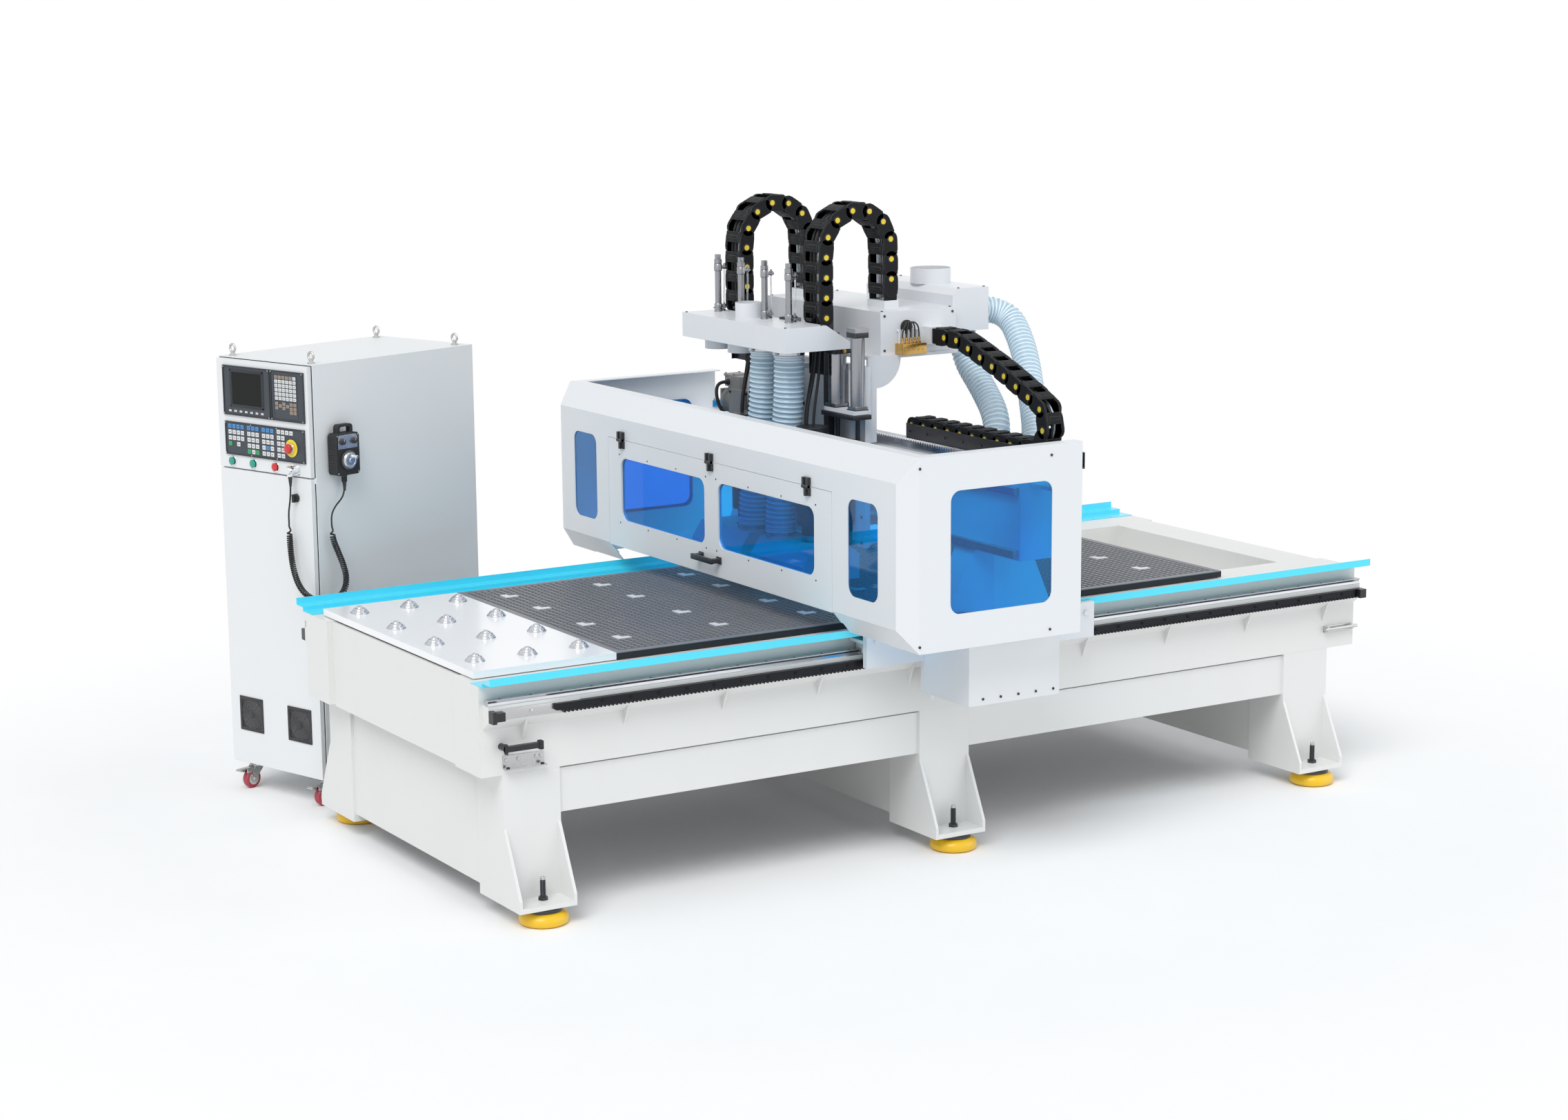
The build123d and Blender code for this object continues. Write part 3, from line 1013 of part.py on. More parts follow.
gate_rod = 5.0
with BuildPart() as air_cylinders:
    for y in station_ys:
        base = manifold_z[1]
        rod((station_x, y, base), (station_x, y, base + 24), 15)
        cap = base + gate_tube
        rod((station_x, y, base + 24), (station_x, y, cap), 12.5)
        rod((station_x, y, cap), (station_x, y, cap + 16), 15)
        block((station_x - 8, station_x + 8), (y - 10, y + 10), (cap + 16, cap + 36))
        rod((station_x, y, base), (station_x, y, cap - 4), gate_rod + SLIDE_GAP, Mode.SUBTRACT)
    for unit_y in SPINDLE_YS:
        for offset, radius, tube, cap in ((balance_offset, balance_radius, balance_tube, 18),
                                          (lift_offset, lift_radius, lift_tube, 34)):
            y, top = unit_y + offset, cylinder_foot + tube
            rod((cylinder_x, y, cylinder_foot), (cylinder_x, y, top), radius)
            block((cylinder_x - radius - 3, cylinder_x + radius + 3), (y - radius - 3, y + radius + 3),
                  (top, top + cap))
            block((cylinder_x - radius, cylinder_x + radius), (y - radius, y + radius),
                  (cylinder_foot, cylinder_foot + 14))
            rod((cylinder_x, y, cylinder_foot), (cylinder_x, y, top - 10), rod_radius + SLIDE_GAP,
                Mode.SUBTRACT)

with BuildPart() as dust_gates:
    for y in station_ys:
        floor = manifold_z[0] + BOX_SHEET + SLIDE_GAP
        rod((station_x, y, floor), (station_x, y, floor + 4), HOSE_RADIUS - 3)
        rod((station_x, y, floor + 4), (station_x, y, manifold_z[1] + 110), gate_rod)

gearbox_x = (PLATE_FRONT - 10, BEAM_FRONT + 25)
with BuildPart() as y_drive:
    motor_x, motor_start, motor_end = sum(gearbox_x) / 2, drive_start_y + 120, drive_start_y + 195
    block(gearbox_x, (drive_start_y, motor_start), (GANTRY_TOP + 10, 1575))
    rod((motor_x, motor_start, 1518), (motor_x, motor_end, 1518), 52)
    block((motor_x - 48, motor_x + 48), (motor_end, motor_end + 10), (1470, 1566))
    block((motor_x - 42, motor_x + 42), (motor_start - 66, motor_start + 30), (1575, 1625))
    rod((gearbox_x[1] - 40, y_drive_y, y_pinion_z), (gearbox_x[1], y_drive_y, y_pinion_z),
        shaft_radius + RUNNING_GAP, Mode.SUBTRACT)

with BuildPart() as y_pinion:
    gear_x = cross_rack_x[0] + 0.5
    gear_plane = Plane(origin=(gear_x, y_drive_y, y_pinion_z), x_dir=(0, 0, -1), z_dir=(1, 0, 0))
    prism(gear_plane, gear_outline(PINION_TEETH, RACK_MODULE), cross_rack_x[1] - cross_rack_x[0] - 1)
    rod((gearbox_x[1] - 39, y_drive_y, y_pinion_z), (gear_x + 10, y_drive_y, y_pinion_z), shaft_radius)

motor_z = (1150.0, 1530.0)
nose_z = 1110.0
rotor_radius = 15.0
slide_bottom, slide_top = 1000.0, cylinder_foot - 120


def spindle_unit(unit_y, chain_near_y):
    """One Z slide with its spindle motor, lift rods and the arm that pulls its cable chain."""
    slide_x = (slide_front, slide_back)
    block(slide_x, (unit_y - 85, unit_y + 85), (slide_bottom, slide_top))
    for y in (unit_y - z_rail_offset, unit_y + z_rail_offset):
        for z in (slide_top - 320, slide_top - 100):
            block((slide_back, PLATE_FRONT - 4), (y - 24, y + 24), (z, z + 80))
            block((z_rail_front - SLIDE_GAP, PLATE_FRONT - 4), (y - 10 - SLIDE_GAP, y + 10 + SLIDE_GAP),
                  (z, z + 80), Mode.SUBTRACT)
    block((SPINDLE_X, slide_front), (unit_y - 56, unit_y + 56), (slide_top - 260, slide_top - 20))
    rod((SPINDLE_X, unit_y, motor_z[0]), (SPINDLE_X, unit_y, motor_z[1]), SPINDLE_RADIUS)
    rod((SPINDLE_X, unit_y, nose_z), (SPINDLE_X, unit_y, motor_z[0]), 40)
    rod((SPINDLE_X, unit_y, nose_z), (SPINDLE_X, unit_y, nose_z + 190), rotor_radius + RUNNING_GAP,
        Mode.SUBTRACT)
    block(slide_x, (unit_y + lift_offset - 20, unit_y - 85), (slide_top - 40, slide_top))
    for offset in (balance_offset, lift_offset):
        rod((cylinder_x, unit_y + offset, slide_top),
            (cylinder_x, unit_y + offset, cylinder_foot + 100), rod_radius)
    block(slide_x, (unit_y + 50, unit_y + 85), (slide_top, unit_top))
    arm_y = (unit_y + 50, max(unit_y + 85, chain_near_y + tall_chain_width / 2))
    block((chain_leg_x[0] - CHAIN_LINK / 2, slide_back), arm_y, (unit_top - 12, unit_top))


def spindle_rotor(unit_y):
    """Shaft, collet nut and cutter."""
    rod((SPINDLE_X, unit_y, nose_z - 48), (SPINDLE_X, unit_y, nose_z + 188), rotor_radius)
    rod((SPINDLE_X, unit_y, nose_z - 48), (SPINDLE_X, unit_y, nose_z - 2), 24)
    rod((SPINDLE_X, unit_y, nose_z - 150), (SPINDLE_X, unit_y, nose_z - 48), 8)


hood_bottom, hood_rim, hood_top = 955.0, 1021.0, 1085.0
hood_port_x = -250.0
hood_wall = 4.0


def dust_hood(span_y, unit_y, port_y):
    """A faceted suction hood, open below, with a hose port on its roof."""
    for inset, mode in ((0, Mode.ADD), (hood_wall, Mode.SUBTRACT)):
        profile = [(-350 + inset, hood_bottom), (-350 + inset, hood_rim - inset / 3),
                   (-306 + inset / 2, hood_top - inset), (-138 - inset / 2, hood_top - inset),
                   (slide_front - inset, hood_rim + 30 - inset / 3), (slide_front - inset, hood_bottom)]
        prism(along(span_y[1] - inset), profile, span_y[1] - span_y[0] - 2 * inset, mode)
    rod((SPINDLE_X, unit_y, hood_top - hood_wall), (SPINDLE_X, unit_y, hood_top), 45, Mode.SUBTRACT)
    rod((hood_port_x, port_y, hood_top - hood_wall), (hood_port_x, port_y, hood_top + 45),
        HOSE_RADIUS - 3 - SLIDE_GAP)
    rod((hood_port_x, port_y, hood_top - hood_wall), (hood_port_x, port_y, hood_top + 45),
        HOSE_RADIUS - 7, Mode.SUBTRACT)


hood_spans = ((-260.0, 124.0), (200.0, 576.0))
port_ys = (62.0, 262.0)

with BuildPart() as spindle_unit_right:
    spindle_unit(SPINDLE_YS[0], chain_near_ys[0])

with BuildPart() as spindle_unit_left:
    spindle_unit(SPINDLE_YS[1], chain_near_ys[1])

with BuildPart() as spindle_rotor_right:
    spindle_rotor(SPINDLE_YS[0])

with BuildPart() as spindle_rotor_left:
    spindle_rotor(SPINDLE_YS[1])

with BuildPart() as dust_hood_right:
    dust_hood(hood_spans[0], SPINDLE_YS[0], port_ys[0])

with BuildPart() as dust_hood_left:
    dust_hood(hood_spans[1], SPINDLE_YS[1], port_ys[1])


def front_hose(station_y, port_y):
    """The ribbed hose from a manifold station to a hood's port."""
    top, bottom = manifold_z[0] - 2, hood_top + 2
    lean_x, lean_y = hood_port_x - station_x, port_y - station_y
    points = [(station_x, station_y, top), (station_x, station_y, top - 150),
              (station_x + 0.3 * lean_x, station_y + 0.3 * lean_y, top - 320),
              (station_x + 0.8 * lean_x, station_y + 0.8 * lean_y, bottom + 200),
              (hood_port_x, port_y, bottom + 90), (hood_port_x, port_y, bottom)]
    hose(points, HOSE_RADIUS, HOSE_RADIUS - 3)


with BuildPart() as dust_hose_right:
    front_hose(station_ys[0], port_ys[0])

with BuildPart() as dust_hose_left:
    front_hose(station_ys[1], port_ys[1])

with BuildPart() as rear_hose_upper:
    x, y, z = upper_outlet
    drop_x, drop_y = rear_outlet_x, rear_outlet_ys[0]
    hose([(x + 2, y, z), (x + 142, y, z), (x + 95, y - 190, z - 140), (x + 20, y - 343, z - 309),
          (drop_x + 95, drop_y + 30, z - 460), (drop_x, drop_y, z - 540), (drop_x, drop_y, 1242)],
         rear_hose_radius, rear_hose_bore)

with BuildPart() as rear_hose_lower:
    x, y, z = lower_outlet
    drop_y = rear_outlet_ys[1]
    hose([(x, y, z - 2), (x, y, z - 96), (x - 13, y - 170, z - 220),
          (drop_x + 40, drop_y + 40, z - 315), (drop_x, drop_y, z - 425), (drop_x, drop_y, 1242)],
         rear_hose_radius, rear_hose_bore)

with BuildPart() as cable_chains_z:
    loop_radius = (chain_leg_x[1] - chain_leg_x[0]) / 2 - 1
    for near_y in chain_near_ys:
        chain_path = [(chain_leg_x[0], unit_top), (chain_leg_x[0], 2344), (chain_leg_x[1], 2344),
                      (chain_leg_x[1], bracket_top)]
        chain_band(along(near_y + tall_chain_width), chain_path, loop_radius, tall_chain_width)

# ================================================================ placing and writing

cabinet_pieces = {
    "cabinet_shell": cabinet_shell, "casters": casters, "eyebolts": eyebolts, "cabinet_door": cabinet_door,
    "lock_knob": lock_knob, "console_door": console_door, "console_panel": console_panel,
    "cord_connector": cord_connector, "estop_button": estop_button, "run_button": run_button,
    "reset_button": reset_button, "stop_button": stop_button, "pendant_body": pendant_body,
    "pendant_handwheel": pendant_handwheel, "pendant_knob_left": pendant_knob_left,
    "pendant_knob_right": pendant_knob_right, "cord_lead_cabinet": cord_lead_cabinet,
    "pendant_cord": pendant_cord, "cord_lead_pendant": cord_lead_pendant,
}
machine_pieces = {
    "bed_frame": bed_frame, "legs": legs, "leveling_feet": leveling_feet, "loading_plate": loading_plate,
    "ball_transfers": ball_transfers, "vacuum_table": vacuum_table, "rail_covers": rail_covers,
    "x_rails": x_rails, "end_stops": end_stops,
    "gantry_beam": gantry_beam, "gantry_columns": gantry_columns, "x_carriages": x_carriages,
    "x_drive_boxes": x_drive_boxes, "x_pinions": x_pinions, "y_rails": y_rails,
    "guard_shell": guard_shell, "guard_windows": guard_windows, "guard_hinges": guard_hinges,
    "guard_door": guard_door, "door_windows": door_windows, "door_hardware": door_hardware,
    "cable_chain_y": cable_chain_y,
    "head_carriage": head_carriage, "head_box": head_box, "front_manifold": front_manifold,
    "rear_manifold": rear_manifold,
    "air_cylinders": air_cylinders, "dust_gates": dust_gates, "y_drive": y_drive, "y_pinion": y_pinion,
    "spindle_unit_right": spindle_unit_right, "spindle_rotor_right": spindle_rotor_right,
    "dust_hood_right": dust_hood_right, "spindle_unit_left": spindle_unit_left,
    "spindle_rotor_left": spindle_rotor_left, "dust_hood_left": dust_hood_left,
    "dust_hose_right": dust_hose_right, "dust_hose_left": dust_hose_left,
    "rear_hose_upper": rear_hose_upper, "rear_hose_lower": rear_hose_lower,
    "cable_chains_z": cable_chains_z,
}
cord_names = ("cord_lead_cabinet", "pendant_cord", "cord_lead_pendant")

cabinet_place = Location((*CABINET_CENTRE, 0), (0, 0, CABINET_TURN))
for piece in cabinet_pieces.values():
    piece.part.move(cabinet_place)

# the origin is on the floor, under the middle of the whole machine's bounding box without its cord
all_pieces = {**machine_pieces, **cabinet_pieces}
boxes = [piece.part.bounding_box() for name, piece in all_pieces.items() if name not in cord_names]
low = [min(getattr(box.min, axis) for box in boxes) for axis in "XYZ"]
high = [max(getattr(box.max, axis) for box in boxes) for axis in "XYZ"]
to_origin = Location((-(low[0] + high[0]) / 2, -(low[1] + high[1]) / 2, -low[2]))
print("bed centre sits at", [round(value, 3) for value in to_origin.position])

os.makedirs("parts", exist_ok=True)
for name, piece in all_pieces.items():
    piece.part.move(to_origin)
    piece.part.label = name
    export_step(piece.part, f"parts/{name}.step")
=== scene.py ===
# %% [markdown]
# A gantry router is a bed on legs, a bridge that travels over it, and a tool head that
# travels along the bridge. The rigid sheet metal already comes from the solid model, so this
# script loads that model, gives every surface its finish, and then adds or replaces the
# pieces that need finer modelling: link chains, ribbed hoses, the table grid, keys and screws.

# %% Load the solid model
import math
from itertools import product
import bmesh
import bpy
from mathutils import Matrix, Vector


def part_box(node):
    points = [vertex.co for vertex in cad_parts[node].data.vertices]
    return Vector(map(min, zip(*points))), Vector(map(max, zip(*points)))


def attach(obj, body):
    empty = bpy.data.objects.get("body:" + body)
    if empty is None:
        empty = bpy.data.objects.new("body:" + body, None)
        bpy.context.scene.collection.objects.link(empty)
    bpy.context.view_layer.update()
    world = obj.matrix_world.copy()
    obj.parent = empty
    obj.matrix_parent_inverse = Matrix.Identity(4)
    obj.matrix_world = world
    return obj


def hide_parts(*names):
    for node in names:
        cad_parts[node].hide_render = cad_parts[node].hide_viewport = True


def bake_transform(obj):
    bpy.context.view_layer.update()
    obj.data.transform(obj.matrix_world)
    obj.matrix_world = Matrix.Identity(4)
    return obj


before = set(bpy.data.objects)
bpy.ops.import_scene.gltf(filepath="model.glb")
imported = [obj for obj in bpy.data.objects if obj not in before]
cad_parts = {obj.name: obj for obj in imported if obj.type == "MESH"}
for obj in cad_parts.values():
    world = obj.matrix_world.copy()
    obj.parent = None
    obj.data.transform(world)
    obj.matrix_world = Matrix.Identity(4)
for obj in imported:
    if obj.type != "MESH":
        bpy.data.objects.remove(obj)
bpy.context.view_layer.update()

# %% [markdown]
# All pieces are drawn in millimetres in one of two drawing frames. The bed frame has its
# origin on the floor under the middle of the bed. The cabinet frame has its origin under the
# middle of the cabinet, with x across its front and -y out of the front door. A matrix carries
# either one into the metres of the model, so a drawing never has to repeat that sum.

# %% Drawing frames
MM = 0.001
PLUS_X, PLUS_Y, UP = (1, 0, 0), (0, 1, 0), (0, 0, 1)
MINUS_X, MINUS_Y, DOWN = (-1, 0, 0), (0, -1, 0), (0, 0, -1)
bed_low, bed_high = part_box("bed_frame")
bed_middle = (bed_low + bed_high) / 2
BED = Matrix.Translation((bed_middle.x, bed_middle.y, 0.0)) @ Matrix.Scale(MM, 4)
CABINET_SPOT = (-1480.5, 1402.3, 0.0)
CABINET_TURN = math.radians(-71.76)
CABINET = BED @ Matrix.Translation(CABINET_SPOT) @ Matrix.Rotation(CABINET_TURN, 4, "Z")


def span(middle, half):
    return middle - half, middle + half


print("bed middle:", tuple(round(value, 4) for value in bed_middle))

# %% [markdown]
# The camera stands off the near side of the bed, toward its loading end and above head
# height. Its direction is given as an azimuth and elevation, with a small roll, and the lens is
# long, so the far end of the bed shrinks only a little. The lens shift moves the picture
# without turning the camera.

# %% Camera
CAMERA_PLACE = (-6287.94, -9764.25, 3162.6)
CAMERA_AZIMUTH = math.radians(-29.79)
CAMERA_ELEVATION = math.radians(11.52)
CAMERA_ROLL = math.radians(-0.81)
SENSOR_WIDTH = 36.0
LENS = 69.08
SHIFT = (0.0598, 0.0293)

backward = Vector((math.sin(CAMERA_AZIMUTH) * math.cos(CAMERA_ELEVATION),
                   -math.cos(CAMERA_AZIMUTH) * math.cos(CAMERA_ELEVATION),
                   math.sin(CAMERA_ELEVATION)))
level_right = Vector(UP).cross(backward).normalized()
level_up = backward.cross(level_right)
right = math.cos(CAMERA_ROLL) * level_right + math.sin(CAMERA_ROLL) * level_up
up = math.cos(CAMERA_ROLL) * level_up - math.sin(CAMERA_ROLL) * level_right
turn = Matrix((right, up, backward)).transposed().to_4x4()

camera_data = bpy.data.cameras.new("camera")
camera_data.sensor_width = SENSOR_WIDTH
camera_data.lens = LENS
camera_data.shift_x, camera_data.shift_y = SHIFT
camera_data.clip_end = 100.0
camera = bpy.data.objects.new("camera", camera_data)
camera.matrix_world = Matrix.Translation(BED @ Vector(CAMERA_PLACE)) @ turn
bpy.context.scene.collection.objects.link(camera)
bpy.context.scene.camera = camera
bpy.context.scene.view_settings.view_transform = "Standard"
print("camera at", tuple(round(value, 3) for value in camera.location))

# %% [markdown]
# Shaders are built from a few small helpers. `feed` gives each input of a node a plain value
# or the output of another node, and the rest are the kinds of node that come up again.

# %% Helpers for node trees
def feed(tree, node, inputs):
    for label, value in inputs.items():
        if isinstance(value, bpy.types.NodeSocket):
            tree.links.new(value, node.inputs[label])
        else:
            node.inputs[label].default_value = value


def add_node(tree, kind, inputs=None, **settings):
    node = tree.nodes.new("ShaderNode" + kind)
    for label, value in settings.items():
        setattr(node, label, value)
    feed(tree, node, inputs or {})
    return node


def math_node(tree, operation, first, second, clamp=False):
    node = add_node(tree, "Math", {0: first, 1: second}, operation=operation, use_clamp=clamp)
    return node.outputs[0]


def noise_node(tree, vector, scale, detail=3.0, roughness=0.5):
    node = add_node(tree, "TexNoise", {"Vector": vector, "Scale": scale, "Detail": detail,
                                       "Roughness": roughness})
    return node.outputs["Fac"]


def mix_colour(tree, factor, first, second, kind="MIX"):
    node = add_node(tree, "Mix", {"Factor": factor, "A": first, "B": second},
                    data_type="RGBA", blend_type=kind)
    return node.outputs["Result"]


def object_place(tree):
    return add_node(tree, "TexCoord").outputs["Object"]


def seen_directly(tree):
    """1 for what the camera sees, also in a mirror or through a window, and else 0."""
    ray = add_node(tree, "LightPath").outputs
    seen = math_node(tree, "MAXIMUM", ray["Is Camera Ray"], ray["Is Glossy Ray"])
    return math_node(tree, "MAXIMUM", seen, ray["Is Transmission Ray"])


def empty_tree(owner):
    owner.use_nodes = True
    owner.node_tree.nodes.clear()
    return owner.node_tree


print("node helpers ready")

# %% [markdown]
# The light is a bright, hazy studio: two very wide suns like window walls and a pale world
# that fills the shadows. A sun with a wide angle gives the same soft shadow over a machine
# four metres long, where an area lamp would fall off along the bed.

# %% Lamps and world
def add_sun(name, toward, strength, spread, colour=(1.0, 1.0, 1.0)):
    lamp = bpy.data.lights.new(name, "SUN")
    lamp.energy = strength
    lamp.angle = math.radians(spread)
    lamp.color = colour
    holder = bpy.data.objects.new(name, lamp)
    holder.rotation_euler = Vector(toward).to_track_quat("-Z", "Y").to_euler()
    bpy.context.scene.collection.objects.link(holder)


add_sun("key_lamp", (0.54, 0.46, -0.86), 1.62, 35)
add_sun("side_lamp", (-0.90, 0.75, -0.30), 0.62, 60, (0.95, 0.975, 1.0))

world = bpy.data.worlds.new("studio")
bpy.context.scene.world = world
tree = empty_tree(world)
room = add_node(tree, "Background", {"Color": (0.94, 0.97, 1.0, 1.0), "Strength": 0.56})
backdrop = add_node(tree, "Background", {"Color": (1.0, 1.0, 1.0, 1.0), "Strength": 1.0})
choose = add_node(tree, "MixShader", {0: seen_directly(tree), 1: room.outputs[0],
                                      2: backdrop.outputs[0]})
add_node(tree, "OutputWorld", {"Surface": choose.outputs[0]})
print("lamps:", [item.name for item in bpy.data.lights])

# %% [markdown]
# The floor is one wide plane. Near the machine it is a plain pale surface that takes the
# shadow; further out it fades into a plain white glow for the camera, so that floor and
# backdrop meet without an edge. The fade follows the place on the floor, so it looks the same
# from every side.

# %% Floor
FLOOR_REACH = 30.0
FLOOR_DROP = 0.0005
FADE_START, FADE_END = 2.6, 4.6
floor_mesh = bpy.data.meshes.new("floor")
floor_mesh.from_pydata([(-FLOOR_REACH, -FLOOR_REACH, 0), (FLOOR_REACH, -FLOOR_REACH, 0),
                        (FLOOR_REACH, FLOOR_REACH, 0), (-FLOOR_REACH, FLOOR_REACH, 0)],
                       [], [(0, 1, 2, 3)])
floor = bpy.data.objects.new("floor", floor_mesh)
floor.location.z = -FLOOR_DROP
bpy.context.scene.collection.objects.link(floor)
floor_finish = bpy.data.materials.new("floor_finish")
tree = empty_tree(floor_finish)
place = object_place(tree)
reach = add_node(tree, "VectorMath", {0: place}, operation="LENGTH")
fade = add_node(tree, "MapRange", {"Value": reach.outputs["Value"], "From Min": FADE_START,
                                   "From Max": FADE_END}, interpolation_type="SMOOTHSTEP")
speck = add_node(tree, "TexNoise", {"Vector": place, "Scale": 3.0})
tone = mix_colour(tree, speck.outputs["Fac"], (0.955, 0.96, 0.965, 1), (0.985, 0.985, 0.985, 1))
paint = add_node(tree, "BsdfPrincipled", {"Base Color": tone, "Roughness": 0.9,
                                          "Specular IOR Level": 0.1})
glow = add_node(tree, "Emission")
share = math_node(tree, "MULTIPLY", seen_directly(tree), fade.outputs["Result"])
both = add_node(tree, "MixShader", {0: share, 1: paint.outputs[0], 2: glow.outputs[0]})
add_node(tree, "OutputMaterial", {"Surface": both.outputs[0]})
floor_mesh.materials.append(floor_finish)
print("floor ready")

# %% [markdown]
# Three effects are shared by many finishes, so each is a node group that is built once.
# `soft_edges` rounds the shading of sharp folded-metal edges and also gives a mask of where
# those edges are. `paint_skin` is the fine orange peel of powder coat with a slow drift of
# tone and a little dust, with a painted highlight that lightens the paint toward a cool white
# along those edges. `brush_lines` are the drawn-out scratches of ground or turned metal.

# %% Group: soft edges
BEVEL_SAMPLES = 4
SURFACE_OUTPUTS = {"Colour": "Color", "Roughness": "Float", "Height": "Float"}


def new_group(name, inputs, outputs):
    """An input's default tells its kind: a number, a vector of three or a colour of four."""
    group = bpy.data.node_groups.new(name, "ShaderNodeTree")
    for label, value in inputs.items():
        kind = {3: "Vector", 4: "Color"}[len(value)] if isinstance(value, tuple) else "Float"
        socket = group.interface.new_socket(name=label, in_out="INPUT",
                                            socket_type="NodeSocket" + kind)
        socket.default_value = value
    for label, kind in outputs.items():
        group.interface.new_socket(name=label, in_out="OUTPUT", socket_type="NodeSocket" + kind)
    entry = group.nodes.new("NodeGroupInput").outputs
    return group, entry, group.nodes.new("NodeGroupOutput")


soft_edges, entry, leave = new_group("soft_edges", {"Radius": 0.0015},
                                     {"Normal": "Vector", "Mask": "Float"})
rounding = add_node(soft_edges, "Bevel", {"Radius": entry["Radius"]}, samples=BEVEL_SAMPLES)
surface = add_node(soft_edges, "NewGeometry")
agreement = add_node(soft_edges, "VectorMath", {0: rounding.outputs["Normal"],
                                                1: surface.outputs["Normal"]},
                     operation="DOT_PRODUCT")
turned_away = math_node(soft_edges, "SUBTRACT", 1.0, agreement.outputs["Value"])
mask = math_node(soft_edges, "MULTIPLY", turned_away, 3.0, clamp=True)
feed(soft_edges, leave, {"Normal": rounding.outputs["Normal"], "Mask": mask})
print("group:", soft_edges.name)

# %% Group: paint skin
paint_skin, entry, leave = new_group(
    "paint_skin", {"Colour": (0.8, 0.8, 0.8, 1.0), "Dust Colour": (0.62, 0.6, 0.56, 1.0),
                   "Drift": 0.05, "Dust": 0.06, "Gloss Rough": 0.35, "Peel Scale": 420.0,
                   "Edge": 0.0}, SURFACE_OUTPUTS)
place = object_place(paint_skin)
slow = noise_node(paint_skin, place, 2.2, 2.0)
streak_map = add_node(paint_skin, "Mapping", {"Scale": (2.6, 2.6, 1.1), "Vector": place})
streak = noise_node(paint_skin, streak_map.outputs["Vector"], 1.6, 4.0, 0.55)
peel = noise_node(paint_skin, place, entry["Peel Scale"], 2.0)
darker = mix_colour(paint_skin, 1.0, entry["Colour"], (0.86, 0.875, 0.9, 1.0), "MULTIPLY")
drift_share = math_node(paint_skin, "MULTIPLY", slow, entry["Drift"])
drift_share = math_node(paint_skin, "MULTIPLY", drift_share, 4.0, clamp=True)
drifted = mix_colour(paint_skin, drift_share, entry["Colour"], darker)
dust_share = math_node(paint_skin, "SUBTRACT", streak, 0.46, clamp=True)
dust_share = math_node(paint_skin, "MULTIPLY", dust_share, entry["Dust"])
dust_share = math_node(paint_skin, "MULTIPLY", dust_share, 6.0, clamp=True)
dusty = mix_colour(paint_skin, dust_share, drifted, entry["Dust Colour"])
# painted highlight: along the edge mask the paint is lightened toward a cool white
edge_highlight_share = math_node(paint_skin, "MULTIPLY", entry["Edge"], 0.22)
edge_highlighted = mix_colour(paint_skin, edge_highlight_share, dusty, (0.97, 0.98, 1.0, 1.0))
rough_drift = math_node(paint_skin, "SUBTRACT", streak, 0.5)
rough_drift = math_node(paint_skin, "MULTIPLY", rough_drift, 0.05)
rough = math_node(paint_skin, "ADD", rough_drift, entry["Gloss Rough"], clamp=True)
feed(paint_skin, leave, {"Colour": edge_highlighted, "Roughness": rough, "Height": peel})
print("group:", paint_skin.name)

# %% Group: brush lines
brush_lines, entry, leave = new_group(
    "brush_lines", {"Colour": (0.6, 0.6, 0.6, 1.0), "Along": (1.0, 60.0, 60.0), "Contrast": 0.3,
                    "Gloss Rough": 0.28}, SURFACE_OUTPUTS)
place = object_place(brush_lines)
stretch = add_node(brush_lines, "VectorMath", {0: place, 1: entry["Along"]},
                   operation="MULTIPLY")
lines_fine = noise_node(brush_lines, stretch.outputs[0], 12.0, 5.0, 0.7)
smear = noise_node(brush_lines, place, 9.0, 4.0)
deeper = mix_colour(brush_lines, 1.0, entry["Colour"], (0.62, 0.63, 0.66, 1.0), "MULTIPLY")
line_share = math_node(brush_lines, "MULTIPLY", lines_fine, entry["Contrast"])
line_share = math_node(brush_lines, "MULTIPLY", line_share, 2.0, clamp=True)
lined = mix_colour(brush_lines, line_share, entry["Colour"], deeper)
spread = math_node(brush_lines, "ADD", lines_fine, smear)
spread = math_node(brush_lines, "SUBTRACT", spread, 1.0)
spread = math_node(brush_lines, "MULTIPLY", spread, 0.3)
rough = math_node(brush_lines, "ADD", spread, entry["Gloss Rough"], clamp=True)
feed(brush_lines, leave, {"Colour": lined, "Roughness": rough, "Height": lines_fine})
print("group:", brush_lines.name)

# %% [markdown]
# A finish is then one shader with its groups in front of it. Painted sheet, moulded plastic
# and rubber all use `painted`; ground, turned and plated metal use `metallic`. Each call gives
# its own colour, gloss and texture size.

# %% What all finishes share
PAINT_RELIEF, METAL_RELIEF = 0.0006, 0.0004
COAT_ROUGHNESS = 0.12


def start_material(name):
    finish = bpy.data.materials.new(name)
    finish.use_nodes = True
    return finish, finish.node_tree, finish.node_tree.nodes["Principled BSDF"]


def covered(name, group, group_values, edge, bump, depth, shader_values):
    """One shader behind a surface group, with rounded edges under the surface's relief."""
    finish, tree, shader = start_material(name)
    edges = add_node(tree, "Group", {"Radius": edge}, node_tree=soft_edges)
    skin = add_node(tree, "Group", group_values, node_tree=group)
    # the edge mask drives the painted edge highlight of paint_skin
    if "Edge" in skin.inputs:
        feed(tree, skin, {"Edge": edges.outputs["Mask"]})
    relief = add_node(tree, "Bump", {"Strength": bump, "Distance": depth,
                                     "Height": skin.outputs["Height"],
                                     "Normal": edges.outputs["Normal"]})
    feed(tree, shader, {"Normal": relief.outputs["Normal"], "Base Color": skin.outputs["Colour"],
                        "Roughness": skin.outputs["Roughness"], **shader_values})
    return finish


print("finish helper ready")

